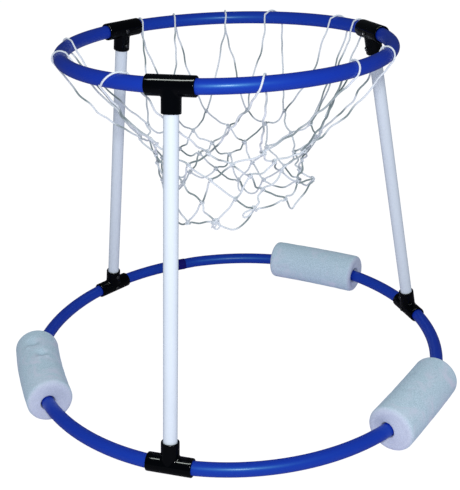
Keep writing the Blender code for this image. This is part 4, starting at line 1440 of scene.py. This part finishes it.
def hem_drop(column, share):
    """How far the hem has sagged at a share of its way; a caught loop hangs to a point."""
    if column not in HEM_TIPS:
        return HEM_DROPS[column] * math.sin(math.pi * share)
    tip = HEM_TIPS[column]
    return HEM_DROPS[column] * (share / tip if share < tip else (1.0 - share) / (1.0 - tip))


def route_hem(column):
    """From one knot of the bottom row to the next."""
    start = ((ROWS - 1, column), "down_right")
    end = ((ROWS - 1, (column + 1) % COLUMNS), "down_left")
    low, high = Vector(knots[start[0]]), Vector(knots[end[0]])
    shares = [step / HEM_STEPS for step in range(1, HEM_STEPS)]
    add_route(start, end, [low.lerp(high, share) - UP * hem_drop(column, share) for share in shares])


for column in range(COLUMNS):
    route_hem(column)
print("cords:", len(routes))

# %% Cord along a line
STRANDS = 3
LAY_PITCH = 0.0085
CORD_SIDES = 12
CORD_STEP = 0.00152
GROOVE_SHARE = 0.10
# How dark the painted shade in the grooves between the strands is.
GROOVE_PAINTED_SHADE = 0.38
CURVE_STEPS = 12
SIDE_HINT = [0.31, 0.2, 0.93]


def smooth_line(points):
    """Even points along a smooth curve through the given ones."""
    given = np.array([tuple(point) for point in points], float)
    extended = np.vstack([2 * given[0] - given[1], given, 2 * given[-1] - given[-2]])
    fine = []
    for i in range(1, len(extended) - 2):
        a, b, c, d = extended[i - 1:i + 3]
        for t in np.linspace(0.0, 1.0, CURVE_STEPS, endpoint=False):
            bend = (2 * a - 5 * b + 4 * c - d) * t ** 2 + (3 * b - a - 3 * c + d) * t ** 3
            fine.append(0.5 * (2 * b + (c - a) * t + bend))
    fine.append(given[-1])
    fine = np.array(fine)
    run = np.append(0.0, np.cumsum(np.linalg.norm(np.diff(fine, axis=0), axis=1)))
    marks = np.linspace(0.0, run[-1], max(4, round(run[-1] / CORD_STEP)))
    return np.stack([np.interp(marks, run, fine[:, axis]) for axis in range(3)], axis=1), run[-1]


def carried_frames(line):
    """Two directions square to the line, carried along it without twist."""
    along = np.gradient(line, axis=0)
    along /= np.linalg.norm(along, axis=1)[:, None]
    start = np.cross(along[0], SIDE_HINT)
    side = [start / np.linalg.norm(start)]
    for direction in along[1:]:
        kept = side[-1] - direction * np.dot(side[-1], direction)
        side.append(kept / np.linalg.norm(kept))
    side = np.array(side)
    return side, np.cross(along, side)


print("cord of", STRANDS, "strands, one turn in", LAY_PITCH * 1000, "mm")

# %% Kinks and soil
KINK_PITCH = 0.024
KINK_DEPTH = 0.0034
KINK_SEED, SOIL_SEED, SOIL_START = 10.0, 7.0, 3.0
SOIL_PITCH = 0.045
SOIL_GAIN, SOIL_BASE, SOIL_MOST = 3.2, 0.17, 0.9


def kinks(run, seed):
    """Small sideways shifts of a cord that has been folded and packed away, none at its ends."""
    shifts = []
    for mark in run / KINK_PITCH:
        shifts.append([noise.noise(Vector((mark, seed, 0.0))), noise.noise(Vector((mark, 0.0, seed)))])
    shifts = np.array(shifts)
    ease = np.clip(np.minimum(run, run[-1] - run) / KINK_PITCH, 0.0, 1.0)
    return KINK_DEPTH * shifts * ease[:, None]


def soil(run, seed):
    """How dirty a cord is along its run, with clean stretches and grey ones."""
    tones = [noise.noise(Vector((mark, seed, seed))) for mark in run / SOIL_PITCH]
    return np.clip(SOIL_GAIN * np.array(tones) + SOIL_BASE, 0.0, SOIL_MOST)


def laid_cord(skin, shade_and_soil_values, points, radius, phase=0.0, kinked=None):
    """Lay a three-strand cord along the points and return its length; kinked scales its kinks.

    A cord is soiled where it kinks, since the knots and the turns over the rim are cleaner.
    """
    line, length = smooth_line(points)
    side, other = carried_frames(line)
    run = np.linspace(0.0, length, len(line))
    if kinked is not None:
        away = kinks(run, KINK_SEED * phase) * kinked(line)[:, None]
        line = line + away[:, :1] * side + away[:, 1:] * other
        side, other = carried_frames(line)
    turn = np.linspace(0.0, 2 * math.pi, CORD_SIDES, endpoint=False)
    twist = 2 * math.pi * run / LAY_PITCH + phase
    crest = 0.5 + 0.5 * np.cos(STRANDS * turn)[None, :]
    reach = radius * (1.0 - GROOVE_SHARE * (1.0 - crest)) * np.ones((len(line), 1))
    angle = turn[None, :] + twist[:, None]
    grid = line[:, None] + reach[..., None] * (
        np.cos(angle)[..., None] * side[:, None] + np.sin(angle)[..., None] * other[:, None]
    )
    skin.add(grid, caps=True)
    # Painted shade: the colour is darkened in the grooves between the strands, and soil is added below.
    shade = np.repeat(GROOVE_PAINTED_SHADE * (1.0 - crest) ** 3, len(line), axis=0)
    if kinked is not None:
        dirt = soil(run, SOIL_START + SOIL_SEED * phase) * kinked(line)
        shade = np.maximum(shade, dirt[:, None])
    shade_and_soil_values.append(shade.ravel())
    return length


print("kinks up to", KINK_DEPTH * 1000, "mm aside")

# %% [markdown]
# ## Knots
# A net knot is a short tangle that is thicker than the cord, and its bulk shows from a step away.
# A trefoil is the simplest closed line that truly is a knot, so each knot is a small trefoil of
# the same cord, pulled tight and turned its own way over the crossing of four cords. The knot that
# closes the hem is a bundle of larger ones and rings, with the cord's cut end standing out of it.
# At two knots some slack has been pulled through, and hangs out as a narrow loop.

# %% Lines of the knots
KNOT_RADIUS = 0.00125
KNOT_BULGE = 0.00095
KNOT_DEPTH = 1.25
KNOT_STEPS = 24
RING_TALL = 1.15
RING_STEPS = 12
SLACK_FORM = [(0.0, 0.1), (0.35, 0.7), (0.8, 1.0)]


def knot_line(place, size, turn):
    """Points of one tight trefoil round a place."""
    spin = Matrix.Rotation(turn[0], 3, "Z") @ Matrix.Rotation(turn[1], 3, "X")
    points = []
    for step in range(KNOT_STEPS + 1):
        t = 2 * math.pi * step / KNOT_STEPS
        reach = KNOT_RADIUS + KNOT_BULGE * math.cos(3 * t)
        depth = KNOT_BULGE * KNOT_DEPTH * math.sin(3 * t)
        loop = Vector((reach * math.cos(2 * t), depth, reach * math.sin(2 * t)))
        points.append(place + spin @ loop * size)
    return points


def ring_line(centre, radius, tilt):
    """Points once round a ring that stands up and is turned a little from the front."""
    across = Vector((math.cos(tilt), math.sin(tilt), 0.0)) * radius
    turns = [2 * math.pi * (step - 0.5) / RING_STEPS for step in range(RING_STEPS + 2)]
    return [centre + across * math.sin(turn) + UP * radius * RING_TALL * math.cos(turn) for turn in turns]


def slack_line(place, tip, width):
    """Points of a narrow loop of spare cord from a knot to its tip and back."""
    reach = Vector(tip)
    side = reach.cross(Vector((0.0, 1.0, 0.0))).normalized() * width / 2
    out = [place + reach * share + side * bulge for share, bulge in SLACK_FORM]
    back = [place + reach * share - side * bulge for share, bulge in reversed(SLACK_FORM)]
    return out + [place + reach] + back


print("points in a knot:", len(knot_line(Vector(), 1.0, (0.0, 0.0))))

# %% Tie the knots
# A tie turn is a spin, a tilt and a size; a tie ring is a centre, a radius and a tilt. A slack
# loop is the knot that it comes from, its tip and its width.
KNOT_CORD = CORD_OD * 0.42
KNOT_SIZES = (1.45, 1.75)
BULKY_KNOTS = {(0, 9): 1.35, (0, 10): 1.25, (4, 9): 1.3}
TIE_TURNS = [(0.3, 0.2, 2.4), (1.9, 0.9, 2.0)]
TIE_RINGS = [((0.0012, -0.0020, -0.0058), 0.0052, 0.25), ((-0.0018, -0.0035, -0.0035), 0.0038, 0.9)]
TIE_TAIL = [(0.0, 0.0, 0.0), (-0.004, -0.002, -0.004), (-0.0065, -0.0015, -0.0095)]
SLACK_LOOPS = [
    ((4, 9), (-0.0165, -0.004, -0.0100), 0.0075),
    ((4, 2), (0.0030, -0.002, -0.0200), 0.0060),
]


def knot_lines(key, turning):
    """Lines of cord that make one knot, each with the phase of its twist."""
    place = Vector(knots[key])
    if key == TIE_KNOT:
        for spin, tilt, size in TIE_TURNS:
            yield knot_line(place, size, (spin, tilt)), 0.0
        for centre, radius, tilt in TIE_RINGS:
            yield ring_line(place + Vector(centre), radius, tilt), 0.0
        yield [place + Vector(step) for step in TIE_TAIL], 0.0
        return
    turn = (turning.uniform(0, 2 * math.pi), turning.uniform(-0.5, 0.5))
    size = turning.uniform(*KNOT_SIZES) * BULKY_KNOTS.get(key, 1.0)
    yield knot_line(place, size, turn), turning.uniform(0, 6)


def add_knots(skin, shade_and_soil_values, turning):
    """Tie every knot, pull out the slack loops, and return the cord that it took."""
    used = 0.0
    for key in np.ndindex(ROWS, COLUMNS):
        for line, phase in knot_lines(key, turning):
            used += laid_cord(skin, shade_and_soil_values, line, KNOT_CORD, phase)
    for key, tip, width in SLACK_LOOPS:
        used += laid_cord(skin, shade_and_soil_values, slack_line(Vector(knots[key]), tip, width), CORD_OD / 2)
    return used


print("knots to tie:", ROWS * COLUMNS, "and slack loops:", len(SLACK_LOOPS))

# %% Build the net
RIM_CALM = 1.6 * PIPE_R


def free_of_rim(line):
    """Share of its kinks and soil that a cord keeps: none where it touches the rim pipe."""
    away = np.hypot(np.hypot(line[:, 0], line[:, 1]) - RIM_RADIUS, line[:, 2] - RIM_RISE)
    return np.clip((away - RIM_CALM) / PIPE_R, 0.0, 1.0)


def build_net():
    """Lay every cord and knot of the net in one skin."""
    skin, shade_and_soil_values = Skin(), []
    turning = np.random.default_rng(NET_SEED + 2)
    total = 0.0
    for start, end, points in routes:
        line = [Vector(knots[start[0]])] + points + [Vector(knots[end[0]])]
        total += laid_cord(skin, shade_and_soil_values, line, CORD_OD / 2, turning.uniform(0, 6), free_of_rim)
    knotted = add_knots(skin, shade_and_soil_values, turning)
    mesh = skin.mesh("net", sharp=70.0)
    # The stored values are painted shade in the grooves and soil along the runs.
    store(mesh, "shade_and_soil", np.concatenate(shade_and_soil_values))
    print("net cord:", round(total, 2), "m and", round(knotted, 2), "m in knots")
    return mesh


net = add_piece("net_of_cord", build_net(), HOOP, net_cord, ["net"])
print("net faces:", len(net.data.polygons))
